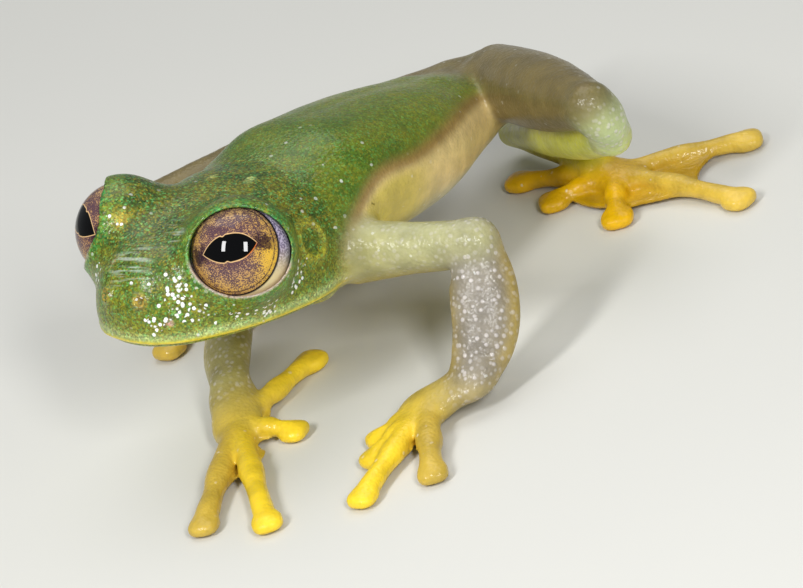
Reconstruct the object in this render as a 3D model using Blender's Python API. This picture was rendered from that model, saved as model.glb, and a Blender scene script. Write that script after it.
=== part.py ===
"""Midas glass frog, an adult female standing alert on a flat floor.

Metres, +Z up.  The frog faces -Y, its left side is +X and the floor is z = 0.
Lengths below are written in millimetres and scaled once, where a mesh is made.
They count from under the middle of the trunk; the last step moves the origin to
the middle of the whole frog's bounding box.
"""
import math

import bmesh
import bpy
from mathutils import Matrix, Vector

for old in list(bpy.data.objects):
    bpy.data.objects.remove(old, do_unlink=True)

MM = 0.001
GAP = 0.3                      # space between neighbouring parts
SIDES = {"left": 1.0, "right": -1.0}

# head: its frame has x to the left, y backwards, z up, from midway between the eyes
EYES_MIDPOINT = Vector((-0.04, -9.03, 7.93))
HEAD_YAW = math.radians(-2.6)
HEAD_PITCH = math.radians(15.7)      # nose raised
HEAD_ROLL = math.radians(5.4)        # left side lower
EYE_RADIUS = 1.74
EYE_CLEARANCE = 0.12
EYE_PLACE = {"left": Vector((2.79, -0.06, -0.01)), "right": Vector((-2.64, 0.0, -0.02))}
LID_RADIUS = 2.06
# the way the lids face, and the half width and half height of the oval between them
LID_LOOKS = {"left": Vector((0.616, -0.724, 0.311)), "right": Vector((-0.80, -0.53, 0.32))}
LID_OPENING = {"left": (1.74, 1.54), "right": (1.70, 1.60)}
LID_TILT = math.radians(4)
LID_BACK = 0.12                # the oval starts this far before the eyeball's middle
MOUTH_FRONT_Z = -2.86
MOUTH_SLOPE = 0.072
JAW_RIM = 0.25                 # thickness of the lower jaw at the lip
JAW_SLOPE = 0.33               # how steeply the throat falls away from the lip inwards
SNOUT_TIP = Vector((0.0, -3.30, -1.75))
NECK_Y = 4.1
# y, half width, z of the widest line, z of the top, z of the bottom
HEAD_STATIONS = (
    (-3.20, 0.70, -1.74, -1.15, -2.50),
    (-3.08, 1.02, -1.80, -0.88, -2.78),
    (-2.84, 1.50, -1.95, -0.35, -3.08),
    (-2.25, 2.16, -2.10, 0.20, -3.34),
    (-1.30, 2.78, -2.15, 0.62, -3.56),
    (0.00, 3.34, -2.15, 1.05, -3.70),
    (1.50, 3.72, -2.05, 1.42, -3.72),
    (2.90, 3.88, -1.85, 1.60, -3.62),
    (4.10, 3.74, -1.55, 1.70, -3.50),
)
# centre x, y, z, half width, height above and depth below it, tilt of the section
TRUNK_STATIONS = (
    (0.25, -3.0, 6.20, 3.58, 2.45, 2.55, 16.0),
    (0.15, -0.5, 5.70, 3.68, 2.35, 2.60, 14.0),
    (0.15, 2.3, 5.02, 3.42, 2.15, 2.36, 14.0),
    (0.10, 4.8, 4.38, 2.62, 1.80, 1.82, 13.0),
    (0.05, 7.0, 3.98, 2.00, 1.40, 1.45, 8.0),
    (0.00, 9.2, 3.92, 1.50, 0.98, 0.95, 0.0),
    (0.00, 10.35, 4.05, 0.85, 0.62, 0.55, -4.0),
)
TAIL_END = Vector((0.0, 10.75, 4.10))
BODY_SEGMENTS = 26
STEPS = 3                      # rings between two stations
FULLNESS = 0.88                # below 1 the sections are squarer than an ellipse

NOSTRIL = Vector((0.70, -3.16, -1.22))
NOSTRIL_RADIUS = 0.22
EARDRUM = Vector((3.42, 2.75, -0.30))
EARDRUM_RADIUS = 0.62
EARDRUM_DEPTH = 0.55

# joints of the limbs
SHOULDER = {"left": Vector((2.8, -4.7, 4.9)), "right": Vector((-2.5, -4.2, 5.4))}
ELBOW = {"left": Vector((8.0, -3.75, 4.78)), "right": Vector((-3.8, -4.15, 2.1))}
WRIST = {"left": Vector((8.16, -6.7, 1.0)), "right": Vector((-1.15, -8.4, 1.0))}
PALM = {"left": Vector((7.0, -7.8, 0.62)), "right": Vector((-0.2, -9.6, 0.62))}
FOREARM_BOW = 0.4              # the forearm's middle stands out this far
FINGER_TIPS = {
    "left": ((5.85, -9.5), (6.45, -10.7), (7.5, -12.95), (9.45, -11.3)),
    "right": ((-0.25, -4.8), (2.17, -9.27), (4.7, -14.7), (2.2, -15.2)),
}
HIP = {"left": Vector((1.2, 8.2, 4.3)), "right": Vector((-1.2, 8.0, 3.65))}
KNEE_UPPER = {"left": Vector((9.4, 2.8, 6.4)), "right": Vector((-8.0, -2.2, 4.85))}
KNEE_LOWER = {"left": Vector((9.2, 3.6, 4.75)), "right": Vector((-8.3, -1.8, 3.4))}
HEEL = {"left": Vector((-0.3, 9.75, 1.15)), "right": Vector((-5.2, 9.6, 1.3))}
ANKLE = {"left": Vector((4.6, 7.85, 0.95)), "right": Vector((-7.3, 4.0, 1.0))}
TOE_TIPS = {
    "left": ((1.0, 7.5), (3.4, 6.1), (7.1, 5.0), (11.6, 6.6), (9.6, 10.8)),
    "right": ((-4.3, 1.4), (-4.6, -0.6), (-5.2, -3.0), (-7.2, -4.8), (-10.3, -1.8)),
}

FINGER_RADIUS = 0.40
DISC_HALF_WIDTH = 0.62
DISC_HALF_LENGTH = 0.62
DISC_HALF_HEIGHT = 0.34
WEB_THICKNESS = 0.5
WEB_UNDERSIDE = 0.10
WEB_STEP = 0.035               # each web lies a little higher than the last

SKINS = {
    "back_green": ((0.085, 0.165, 0.025), 0.42),
    "flank_cream": ((0.62, 0.52, 0.20), 0.45),
    "arm_grey": ((0.42, 0.38, 0.27), 0.45),
    "digit_yellow": ((0.80, 0.55, 0.03), 0.40),
    "leg_olive": ((0.22, 0.19, 0.07), 0.45),
    "tarsus_green": ((0.30, 0.34, 0.04), 0.45),
    "eye_gold": ((0.38, 0.24, 0.09), 0.12),
    "eardrum_yellow": ((0.42, 0.36, 0.06), 0.45),
}

root = bpy.data.collections.new("midas_glass_frog")
bpy.context.scene.collection.children.link(root)


def make_materials():
    """One Principled material for each kind of skin."""
    made = {}
    for name, (colour, roughness) in SKINS.items():
        material = bpy.data.materials.new(name)
        material.use_nodes = True
        shader = material.node_tree.nodes["Principled BSDF"]
        shader.inputs["Base Color"].default_value = (*colour, 1.0)
        shader.inputs["Roughness"].default_value = roughness
        shader.inputs["Metallic"].default_value = 0.0
        material.diffuse_color = (*colour, 1.0)
        made[name] = material
    return made


MATERIALS = make_materials()
HEAD_FRAME = (
    Matrix.Translation(EYES_MIDPOINT)
    @ Matrix.Rotation(HEAD_YAW, 4, "Z")
    @ Matrix.Rotation(-HEAD_PITCH, 4, "X")
    @ Matrix.Rotation(HEAD_ROLL, 4, "Y")
)


def blend(a, b, c, d, t):
    """Catmull-Rom value between b and c."""
    return 0.5 * (
        2 * b
        + (c - a) * t
        + (2 * a - 5 * b + 4 * c - d) * t * t
        + (3 * b - a - 3 * c + d) * t * t * t
    )


def smooth_steps(values, steps):
    """Catmull-Rom samples through a list of numbers or vectors."""
    out = []
    last = len(values) - 1
    for i in range(last):
        for k in range(steps):
            out.append(blend(values[max(i - 1, 0)], values[i], values[i + 1],
                             values[min(i + 2, last)], k / steps))
    out.append(values[-1])
    return out


def section(centre, side, up, half_width, above, below, count, fullness=1.0):
    """A rounded ring, taller above or below its centre as told."""
    ring = []
    for i in range(count):
        angle = 2 * math.pi * i / count
        c = math.cos(angle)
        s = math.sin(angle)
        x = math.copysign(abs(c) ** fullness, c) * half_width
        z = math.copysign(abs(s) ** fullness, s) * (above if s > 0 else below)
        ring.append(centre + side * x + up * z)
    return ring


def loft(rings, start=None, end=None):
    """A closed bmesh through rings of equal count, closed to a point or flat."""
    bm = bmesh.new()
    rows = [[bm.verts.new(p) for p in ring] for ring in rings]
    count = len(rows[0])
    for a, b in zip(rows, rows[1:]):
        for i in range(count):
            j = (i + 1) % count
            bm.faces.new((a[i], a[j], b[j], b[i]))
    for row, tip in ((rows[0], start), (rows[-1], end)):
        if tip is None:
            bm.faces.new(row)
        else:
            pole = bm.verts.new(tip)
            for i in range(count):
                bm.faces.new((row[i], row[(i + 1) % count], pole))
    bmesh.ops.recalc_face_normals(bm, faces=bm.faces)
    return bm


def rounded_end(ring, centre, reach):
    """Shrinking rings that close the end of a limb like a dome."""
    rings = []
    for rise in (0.5, 0.84):
        shrink = math.sqrt(1 - rise * rise)
        rings.append([centre + (p - centre) * shrink + reach * rise for p in ring])
    return rings


def tube(points, widths, heights, up_hint, count=12, steps=3):
    """A limb along points, with its half width and half height at each."""
    path = smooth_steps(points, steps)
    wide = smooth_steps(widths, steps)
    high = smooth_steps(heights, steps)
    rings = []
    last = len(path) - 1
    for i, point in enumerate(path):
        along = (path[min(i + 1, last)] - path[max(i - 1, 0)]).normalized()
        side = along.cross(up_hint).normalized()
        up = side.cross(along).normalized()
        rings.append(section(point, side, up, wide[i], high[i], high[i], count))
    first = (path[0] - path[1]).normalized()
    final = (path[-1] - path[-2]).normalized()
    rings = rounded_end(rings[0], path[0], first * high[0])[::-1] + rings
    rings += rounded_end(rings[-1], path[-1], final * high[-1])
    return loft(rings, path[0] + first * high[0], path[-1] + final * high[-1])


def ball(centre, radius, segments=20, rings=12, scale=(1, 1, 1), turn=None):
    """A closed sphere or ellipsoid."""
    bm = bmesh.new()
    bmesh.ops.create_uvsphere(bm, u_segments=segments, v_segments=rings, radius=radius)
    place = Matrix.Translation(centre)
    if turn is not None:
        place = place @ turn
    bmesh.ops.transform(bm, matrix=place @ Matrix.Diagonal((*scale, 1)), verts=bm.verts)
    return bm


def drum(centre, axis, radius, depth, segments=20):
    """A closed cylinder centred on a point."""
    side = axis.orthogonal().normalized()
    up = axis.cross(side).normalized()
    rings = [section(centre + axis * d, side, up, radius, radius, radius, segments)
             for d in (-depth / 2, depth / 2)]
    return loft(rings)


def prism(outline, low, high):
    """A closed slab over a flat outline."""
    bm = bmesh.new()
    bottom = [bm.verts.new((x, y, low)) for x, y in outline]
    top = [bm.verts.new((x, y, high)) for x, y in outline]
    bm.faces.new(bottom[::-1])
    bm.faces.new(top)
    count = len(outline)
    for i in range(count):
        j = (i + 1) % count
        bm.faces.new((bottom[i], bottom[j], top[j], top[i]))
    bmesh.ops.recalc_face_normals(bm, faces=bm.faces)
    return bm


def cut(bm, point, normal):
    """Take away what lies on the normal's side of a plane, and close the cut."""
    geometry = list(bm.verts) + list(bm.edges) + list(bm.faces)
    bmesh.ops.bisect_plane(bm, geom=geometry, plane_co=point, plane_no=normal,
                           clear_outer=True, dist=1e-5)
    rim = [e for e in bm.edges if e.is_boundary]
    bmesh.ops.holes_fill(bm, edges=rim, sides=0)
    bmesh.ops.recalc_face_normals(bm, faces=bm.faces)
    return bm


def as_object(bm, name, scale=MM):
    """A mesh object in metres from a bmesh in millimetres."""
    bmesh.ops.scale(bm, vec=(scale, scale, scale), verts=bm.verts)
    bmesh.ops.triangulate(bm, faces=bm.faces)
    mesh = bpy.data.meshes.new(name)
    bm.to_mesh(mesh)
    bm.free()
    return bpy.data.objects.new(name, mesh)


def combine(target, pieces, operation):
    """One exact Boolean of a mesh object with a collection of closed pieces."""
    group = bpy.data.collections.new("cutters")
    root.children.link(group)
    for piece in pieces:
        group.objects.link(piece)
        piece.hide_render = True
        piece.display_type = "WIRE"
    root.objects.link(target)
    modifier = target.modifiers.new("join", "BOOLEAN")
    modifier.operation = operation
    modifier.solver = "EXACT"
    modifier.operand_type = "COLLECTION"
    modifier.collection = group
    bpy.context.view_layer.update()
    shape = target.evaluated_get(bpy.context.evaluated_depsgraph_get())
    result = bpy.data.meshes.new_from_object(shape)
    target.modifiers.clear()
    target.data = result
    root.objects.unlink(target)
    for piece in list(group.objects):
        bpy.data.objects.remove(piece, do_unlink=True)
    bpy.data.collections.remove(group)
    return target


def keep_largest(obj):
    """Leave only the largest closed surface of an object."""
    bm = bmesh.new()
    bm.from_mesh(obj.data)
    bmesh.ops.remove_doubles(bm, verts=bm.verts, dist=2e-6)
    bmesh.ops.dissolve_degenerate(bm, edges=bm.edges, dist=1e-6)
    left = set(bm.verts)
    shells = []
    while left:
        stack = [left.pop()]
        shell = set(stack)
        while stack:
            for edge in stack.pop().link_edges:
                for vert in edge.verts:
                    if vert in left:
                        left.discard(vert)
                        shell.add(vert)
                        stack.append(vert)
        shells.append(shell)
    shells.sort(key=len)
    for shell in shells[:-1]:
        bmesh.ops.delete(bm, geom=list(shell), context="VERTS")
    bmesh.ops.triangulate(bm, faces=bm.faces)
    bmesh.ops.recalc_face_normals(bm, faces=bm.faces)
    bm.to_mesh(obj.data)
    bm.free()
    return obj


def finish(obj, name, material):
    """Name a node, give it its skin and put it with the frog."""
    obj.name = name
    obj.data.name = name
    obj.data.materials.clear()
    obj.data.materials.append(MATERIALS[material])
    root.objects.link(obj)
    return obj


def in_head(point):
    return HEAD_FRAME @ Vector(point)


def head_direction(vector):
    return HEAD_FRAME.to_3x3() @ Vector(vector)


def body_rings(grow=0.0):
    """Rings of head and trunk from the snout to the vent, thickened all round by grow."""
    side = head_direction((1, 0, 0))
    up = head_direction((0, 0, 1))
    rows = []
    for y, half, widest, top, bottom in HEAD_STATIONS:
        rows.append((in_head((0, y, widest)), side, up, half, top - widest, widest - bottom))
    for x, y, z, half, above, below, tilt in TRUNK_STATIONS:
        lean = math.radians(tilt)
        rows.append((Vector((x, y, z)), Vector((1, 0, 0)),
                     Vector((0, math.sin(lean), math.cos(lean))), half, above, below))
    columns = [smooth_steps(list(column), STEPS) for column in zip(*rows)]
    rings = []
    for centre, across, upward, half, above, below in zip(*columns):
        rings.append(section(centre, across, upward, half + grow, above + grow,
                             below + grow, BODY_SEGMENTS, FULLNESS))
    return rings


def body(grow=0.0):
    """Head and trunk as one closed form."""
    back = Vector((0, grow, 0))
    snout = in_head(SNOUT_TIP - back)
    return loft(body_rings(grow), snout, TAIL_END + back)


def mouth_z(y):
    """Height of the mouth's line at a distance behind the eyes."""
    return MOUTH_FRONT_Z + MOUTH_SLOPE * (y - SNOUT_TIP.y)


def head_half_width(y, z):
    """Half width of the head at one place, from its stations."""
    for near, far in zip(HEAD_STATIONS, HEAD_STATIONS[1:]):
        if near[0] <= y <= far[0]:
            t = (y - near[0]) / (far[0] - near[0])
            half, widest, top, bottom = (n + (f - n) * t for n, f in zip(near[1:], far[1:]))
            height = top - widest if z > widest else widest - bottom
            sine = min(1.0, abs(z - widest) / height) ** (1 / FULLNESS)
            return half * math.sqrt(1 - sine * sine) ** FULLNESS
    return 0.0


def lip_ridge():
    """The raised rim along the upper lip, from one corner of the mouth to the other."""
    points = []
    for y in (2.9, 1.6, 0.2, -1.2, -2.2, -2.8):
        z = mouth_z(y) + GAP / 2 + 0.2
        points.append(Vector((head_half_width(y, z) - 0.12, y, z)))
    points.append(Vector((0.0, -3.02, mouth_z(-3.1) + GAP / 2 + 0.2)))
    points += [Vector((-p.x, p.y, p.z)) for p in points[-2::-1]]
    points = [in_head(p) for p in points]
    sizes = [0.18] + [0.26] * (len(points) - 2) + [0.18]
    return tube(points, sizes, sizes, head_direction((0, 0, 1)), count=8, steps=2)


def eye_centre(side):
    return in_head(EYE_PLACE[side])


def lid_oval(side):
    """What the lids leave open: a closed oval drum along the way that they face."""
    axis = head_direction(LID_LOOKS[side]).normalized()
    level = head_direction((0, 0, 1)).cross(axis).normalized()
    across = Matrix.Rotation(-LID_TILT * SIDES[side], 3, axis) @ level
    rise = axis.cross(across)
    wide, tall = LID_OPENING[side]
    rings = [section(eye_centre(side) + axis * h, across, rise, wide, tall, tall, 26)
             for h in (LID_BACK, 2.6)]
    return loft(rings)


def throat_cuts(lower):
    """Take away what lies below the jaw: planes that fall inwards from the line of the lips."""
    for degrees in (-88, -66, -42, -20, 0, 20, 42, 66, 88):
        angle = math.radians(degrees)
        out = Vector((math.sin(angle), -math.cos(angle), 0))
        reach, y = max((abs(out.x) * half + out.y * y, y) for y, half, *_ in HEAD_STATIONS)
        rim = Vector((0, 0, mouth_z(y) - GAP / 2 - JAW_RIM)) + out * reach
        rim.z += MOUTH_SLOPE * (rim.y - y)
        down = Vector((JAW_SLOPE * out.x, MOUTH_SLOPE + JAW_SLOPE * out.y, -1))
        cut(lower, in_head(rim), head_direction(down).normalized())
    return lower


def eardrum_place(sign):
    """Centre and outward direction of an eardrum."""
    centre = in_head((sign * EARDRUM.x, EARDRUM.y, EARDRUM.z))
    axis = head_direction((sign * 0.94, 0.10, 0.33)).normalized()
    return centre, axis


def build_head():
    """Skull with snout, lips and lids, the lower jaw, and the trunk behind the neck."""
    neck = in_head((0, NECK_Y, -1.0))
    neck_axis = head_direction((0, 1, 0))
    trunk = cut(body(), neck + neck_axis * GAP / 2, -neck_axis)
    finish(as_object(trunk, "torso"), "torso", "back_green")

    whole = cut(body(), neck - neck_axis * GAP / 2, neck_axis)
    skull = as_object(whole, "skull")
    socket = EYE_RADIUS + EYE_CLEARANCE
    domes = [as_object(ball(eye_centre(side), LID_RADIUS, 22, 14), "lid") for side in SIDES]
    skull = combine(skull, domes + [as_object(lip_ridge(), "lip")], "UNION")
    hollows = []
    for side, sign in SIDES.items():
        hollows.append(as_object(ball(eye_centre(side), socket, 24, 14), "socket"))
        hollows.append(as_object(lid_oval(side), "opening"))
        nostril = in_head((sign * NOSTRIL.x, NOSTRIL.y, NOSTRIL.z))
        hollows.append(as_object(ball(nostril, NOSTRIL_RADIUS, 10, 6), "nostril"))
        ear, out = eardrum_place(sign)
        hollows.append(as_object(drum(ear + out * 1.0, out, EARDRUM_RADIUS + 0.25,
                                      EARDRUM_DEPTH + 2.0 + 0.45), "cup"))
    skull = combine(skull, hollows, "DIFFERENCE")
    keep_largest(skull)

    slope = head_direction((0, -MOUTH_SLOPE, 1)).normalized()
    line = in_head((0, SNOUT_TIP.y, MOUTH_FRONT_Z))
    upper = bmesh.new()
    upper.from_mesh(skull.data)
    cut(upper, (line + slope * GAP / 2) * MM, -slope)
    lower = cut(body(), neck - neck_axis * GAP / 2, neck_axis)
    throat_cuts(cut(lower, line - slope * GAP / 2, slope))
    finish(keep_largest(as_object(upper, "head", 1.0)), "head", "back_green")
    finish(as_object(lower, "lower_jaw"), "lower_jaw", "flank_cream")


def build_eye(side, sign):
    """An eyeball and the eardrum behind it."""
    turn = head_direction(LID_LOOKS[side]).to_track_quat("Z", "Y").to_matrix().to_4x4()
    eyeball = ball(eye_centre(side), EYE_RADIUS, 20, 14, turn=turn)
    finish(as_object(eyeball, "eye"), "eye_" + side, "eye_gold")
    centre, axis = eardrum_place(sign)
    skin = drum(centre, axis, EARDRUM_RADIUS, EARDRUM_DEPTH, 18)
    finish(as_object(skin, "eardrum"), "tympanum_" + side, "eardrum_yellow")


def part_at(first, second, point, before, after):
    """Part two limbs at a joint by a plane that halves the bend."""
    normal = (before.normalized() + after.normalized()).normalized()
    cut(first, point - normal * GAP / 2, normal)
    cut(second, point + normal * GAP / 2, -normal)


def digit(start, tip, knuckle, disc_width):
    """One finger or toe with its round disc, as closed pieces."""
    end = Vector((tip[0], tip[1], 0.36))
    along = (end - start)
    along.z = 0
    along.normalize()
    middle = start.lerp(end, 0.5)
    middle.z = knuckle
    stem_end = end - along * DISC_HALF_LENGTH * 0.4
    stem_end.z = 0.42
    radii = [FINGER_RADIUS * 1.12, FINGER_RADIUS * 1.02, FINGER_RADIUS * 0.92]
    stem = tube([start, middle, stem_end], radii, [r * 0.95 for r in radii],
                Vector((0, 0, 1)), count=10, steps=2)
    turn = Matrix.Rotation(math.atan2(along.y, along.x), 4, "Z")
    pad = ball(end - along * DISC_HALF_LENGTH * 0.55 - Vector((0, 0, 0.06)), 1.0, 14, 7,
               (DISC_HALF_LENGTH, disc_width, DISC_HALF_HEIGHT), turn)
    return [as_object(stem, "stem"), as_object(pad, "pad")]


def web(base, tip_a, tip_b, reach_a, reach_b, dip, level):
    """The skin between two digits, as a thin slab with a hollow free edge."""
    a = Vector((tip_a[0], tip_a[1]))
    b = Vector((tip_b[0], tip_b[1]))
    root_point = Vector((base.x, base.y))
    edge_a = root_point.lerp(a, reach_a)
    edge_b = root_point.lerp(b, reach_b)
    middle = edge_a.lerp(edge_b, 0.5)
    bay = root_point.lerp(middle, dip)
    quarter_a = edge_a.lerp(bay, 0.55)
    quarter_b = edge_b.lerp(bay, 0.55)
    quarter_a = quarter_a.lerp(root_point, 0.06)
    quarter_b = quarter_b.lerp(root_point, 0.06)
    outline = [root_point.lerp(bay, -0.12), edge_a, quarter_a, bay, quarter_b, edge_b]
    low = WEB_UNDERSIDE + level * WEB_STEP
    return as_object(prism(outline, low, low + WEB_THICKNESS), "web")


def rest_on_floor(obj, others=()):
    """Cut a hand or foot flat where it touches the floor, and clear of other forms."""
    under = ((-20, -20), (20, -20), (20, 20), (-20, 20))
    away = [as_object(prism(under, -3, 0), "floor"), *others]
    return keep_largest(combine(obj, away, "DIFFERENCE"))


def tarsus_form(heel, ankle, grow=0.0):
    """The long ankle, thickened all round by grow."""
    way = (ankle - heel).normalized()
    return tube([heel - way * 0.7, heel.lerp(ankle, 0.5), ankle + way * 0.5],
                [0.62 + grow, 0.60 + grow, 0.68 + grow],
                [0.58 + grow, 0.55 + grow, 0.55 + grow], Vector((0, 0, 1)), count=12)


def build_arm(side):
    """Upper arm, forearm and hand of one side."""
    shoulder = SHOULDER[side]
    elbow = ELBOW[side]
    wrist = WRIST[side]
    palm = PALM[side]
    out = (elbow - shoulder).normalized()
    down = (wrist - elbow).normalized()
    hand = (palm - wrist).normalized()
    edge = Vector((SIDES[side] * 0.8, 0.6, 0))

    upper = tube([shoulder, shoulder.lerp(elbow, 0.5), elbow + out * 0.9],
                 [1.20, 0.95, 0.90], [1.10, 0.88, 0.85], Vector((0, 0, 1)), count=14)
    bow = edge * FOREARM_BOW
    fore = tube([elbow - down * 0.9, elbow.lerp(wrist, 0.3) + bow * 0.7,
                 elbow.lerp(wrist, 0.62) + bow * 1.3, wrist + down * 0.5],
                [0.90, 1.14, 1.16, 0.74], [0.76, 0.76, 0.74, 0.52], edge.cross(down), count=14)
    part_at(upper, fore, elbow, out, down)

    start = wrist - hand * 0.6
    flat = [start, wrist.lerp(palm, 0.5), palm, palm + hand * 0.5]
    stub = tube(flat, [0.64, 0.85, 1.05, 0.85], [0.50, 0.48, 0.42, 0.36],
                Vector((0, 0, 1)), count=14)
    part_at(fore, stub, wrist, down, hand)
    upper_arm = combine(as_object(upper, "upper"), [as_object(body(GAP), "body")], "DIFFERENCE")
    finish(keep_largest(upper_arm), "upper_arm_" + side, "flank_cream")
    finish(as_object(fore, "fore"), "forearm_" + side, "arm_grey")

    tips = FINGER_TIPS[side]
    root_point = palm.copy()
    root_point.z = 0.55
    pieces = []
    for tip in tips:
        reach = Vector((tip[0], tip[1], 0.55)) - root_point
        pieces += digit(root_point + reach.normalized() * 0.25, tip, 0.62, DISC_HALF_WIDTH)
    reaches = ((0.30, 0.28, 0.80), (0.45, 0.42, 0.85), (0.72, 0.78, 0.72))
    for i, (reach_a, reach_b, dip) in enumerate(reaches):
        pieces.append(web(root_point, tips[i], tips[i + 1], reach_a, reach_b, dip, i))
    whole = combine(as_object(stub, "palm"), pieces, "UNION")
    finish(rest_on_floor(whole), "hand_" + side, "digit_yellow")


def build_leg(side):
    """Thigh, shank, tarsus and webbed foot of one side."""
    hip = HIP[side]
    knee_a = KNEE_UPPER[side]
    knee_b = KNEE_LOWER[side]
    heel = HEEL[side]
    ankle = ANKLE[side]
    thigh_way = (knee_a - hip).normalized()
    shank_way = (heel - knee_b).normalized()
    tarsus_way = (ankle - heel).normalized()
    axis = (thigh_way - shank_way).normalized()
    apart = (knee_b - knee_a).normalized() + (heel - hip).normalized()
    apart = (apart - axis * apart.dot(axis)).normalized()

    thigh = tube([hip, hip.lerp(knee_a, 0.35), hip.lerp(knee_a, 0.75), knee_a + thigh_way * 0.2],
                 [1.45, 1.40, 1.10, 0.80], [1.35, 1.30, 1.05, 0.78], apart, count=14)
    shank = tube([knee_b - shank_way * 0.2, knee_b.lerp(heel, 0.25), knee_b.lerp(heel, 0.6),
                  heel + shank_way * 0.7],
                 [0.78, 1.00, 0.85, 0.62], [0.76, 0.95, 0.80, 0.60], apart, count=14)
    middle = (knee_a + knee_b) / 2
    cut(thigh, middle - apart * GAP / 2, apart)
    cut(shank, middle + apart * GAP / 2, -apart)

    foot_way = Vector((TOE_TIPS[side][3][0], TOE_TIPS[side][3][1], 0.4)) - ankle
    foot_way.z = 0
    foot_way.normalize()
    tarsus = tarsus_form(heel, ankle)
    part_at(shank, tarsus, heel, shank_way, tarsus_way)

    root_point = ankle + foot_way * 0.9
    root_point.z = 0.55
    sole = tube([ankle - foot_way * 0.6, ankle + foot_way * 0.3, root_point,
                 root_point + foot_way * 0.8],
                [0.66, 0.80, 1.05, 0.9], [0.52, 0.48, 0.42, 0.34], Vector((0, 0, 1)), count=14)
    part_at(tarsus, sole, ankle, tarsus_way, foot_way)
    trunk = as_object(body(GAP), "body")
    limb = combine(as_object(thigh, "thigh"), [trunk], "DIFFERENCE")
    finish(keep_largest(limb), "thigh_" + side, "leg_olive")
    finish(as_object(shank, "shank"), "shank_" + side, "leg_olive")
    finish(as_object(tarsus, "tarsus"), "tarsus_" + side, "tarsus_green")

    tips = TOE_TIPS[side]
    pieces = []
    for tip in tips:
        reach = Vector((tip[0], tip[1], 0.55)) - root_point
        pieces += digit(root_point + reach.normalized() * 0.2, tip, 0.58, DISC_HALF_WIDTH)
    reaches = ((0.66, 0.66, 0.80), (0.78, 0.72, 0.80), (0.80, 0.64, 0.76), (0.70, 0.80, 0.76))
    for i, (reach_a, reach_b, dip) in enumerate(reaches):
        pieces.append(web(root_point, tips[i], tips[i + 1], reach_a, reach_b, dip, i))
    whole = combine(as_object(sole, "sole"), pieces, "UNION")
    bend = (tarsus_way + foot_way).normalized()
    room = cut(tarsus_form(heel, ankle, GAP), ankle - bend * (GAP / 2 + 0.02), bend)
    foot = rest_on_floor(whole, [as_object(room, "room")])
    finish(foot, "foot_" + side, "digit_yellow")


def centre_on_floor():
    """Put the origin on the floor under the middle of the frog's bounding box."""
    points = [v.co for obj in root.objects for v in obj.data.vertices]
    middle_x = (min(p.x for p in points) + max(p.x for p in points)) / 2
    middle_y = (min(p.y for p in points) + max(p.y for p in points)) / 2
    for obj in root.objects:
        obj.data.transform(Matrix.Translation((-middle_x, -middle_y, 0)))


build_head()
for side_name, side_sign in SIDES.items():
    build_eye(side_name, side_sign)
    build_arm(side_name)
    build_leg(side_name)
centre_on_floor()
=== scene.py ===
"""A midas glass frog, adult female, standing alert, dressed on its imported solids."""

import math

import bpy
import numpy as np
from mathutils import Matrix, Vector


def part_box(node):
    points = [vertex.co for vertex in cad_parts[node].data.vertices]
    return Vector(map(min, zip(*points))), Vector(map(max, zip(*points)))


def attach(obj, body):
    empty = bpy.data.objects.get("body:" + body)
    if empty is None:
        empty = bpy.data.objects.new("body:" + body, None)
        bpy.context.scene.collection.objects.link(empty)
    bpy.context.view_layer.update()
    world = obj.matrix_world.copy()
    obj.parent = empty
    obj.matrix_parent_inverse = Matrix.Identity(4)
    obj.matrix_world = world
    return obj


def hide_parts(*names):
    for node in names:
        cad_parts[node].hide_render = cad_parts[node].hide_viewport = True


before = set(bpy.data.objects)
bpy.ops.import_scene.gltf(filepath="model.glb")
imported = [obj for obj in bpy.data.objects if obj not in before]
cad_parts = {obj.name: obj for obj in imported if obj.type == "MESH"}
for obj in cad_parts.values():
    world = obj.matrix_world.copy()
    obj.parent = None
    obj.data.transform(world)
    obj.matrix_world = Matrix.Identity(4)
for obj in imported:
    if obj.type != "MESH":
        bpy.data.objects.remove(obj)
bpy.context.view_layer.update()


# Head and trunk.  Flesh and bone under a thin, moist skin, with no neck to see.  The form is
# a distance in millimetres, below 0 inside, swept from snout to vent through the stations;
# the head is raised and turned, and has a frame of its own: x to its left, y back, z up.
EYES_MIDPOINT = np.array((-0.04, -9.03, 7.93))
HEAD_YAW = math.radians(-2.6)
HEAD_PITCH = math.radians(15.7)
HEAD_ROLL = math.radians(5.4)
head_turn = np.array(
    Matrix.Rotation(HEAD_YAW, 3, "Z")
    @ Matrix.Rotation(-HEAD_PITCH, 3, "X")
    @ Matrix.Rotation(HEAD_ROLL, 3, "Y")
)
head_side = head_turn @ (1, 0, 0)
head_up = head_turn @ (0, 0, 1)
# y, half width, and the heights of the widest line, the top and the bottom
HEAD_STATIONS = (
    (-3.26, 0.30, -1.70, -1.45, -2.05),
    (-3.20, 0.70, -1.74, -1.15, -2.50),
    (-3.08, 1.02, -1.80, -0.88, -2.78),
    (-2.84, 1.50, -1.95, -0.35, -3.08),
    (-2.25, 2.16, -2.10, 0.20, -3.34),
    (-1.30, 2.78, -2.15, 0.62, -3.56),
    (0.00, 3.34, -2.15, 1.05, -3.70),
    (1.50, 3.72, -2.05, 1.42, -3.72),
    (2.90, 3.88, -1.85, 1.60, -3.62),
    (4.10, 3.74, -1.55, 1.70, -3.50),
)
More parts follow.
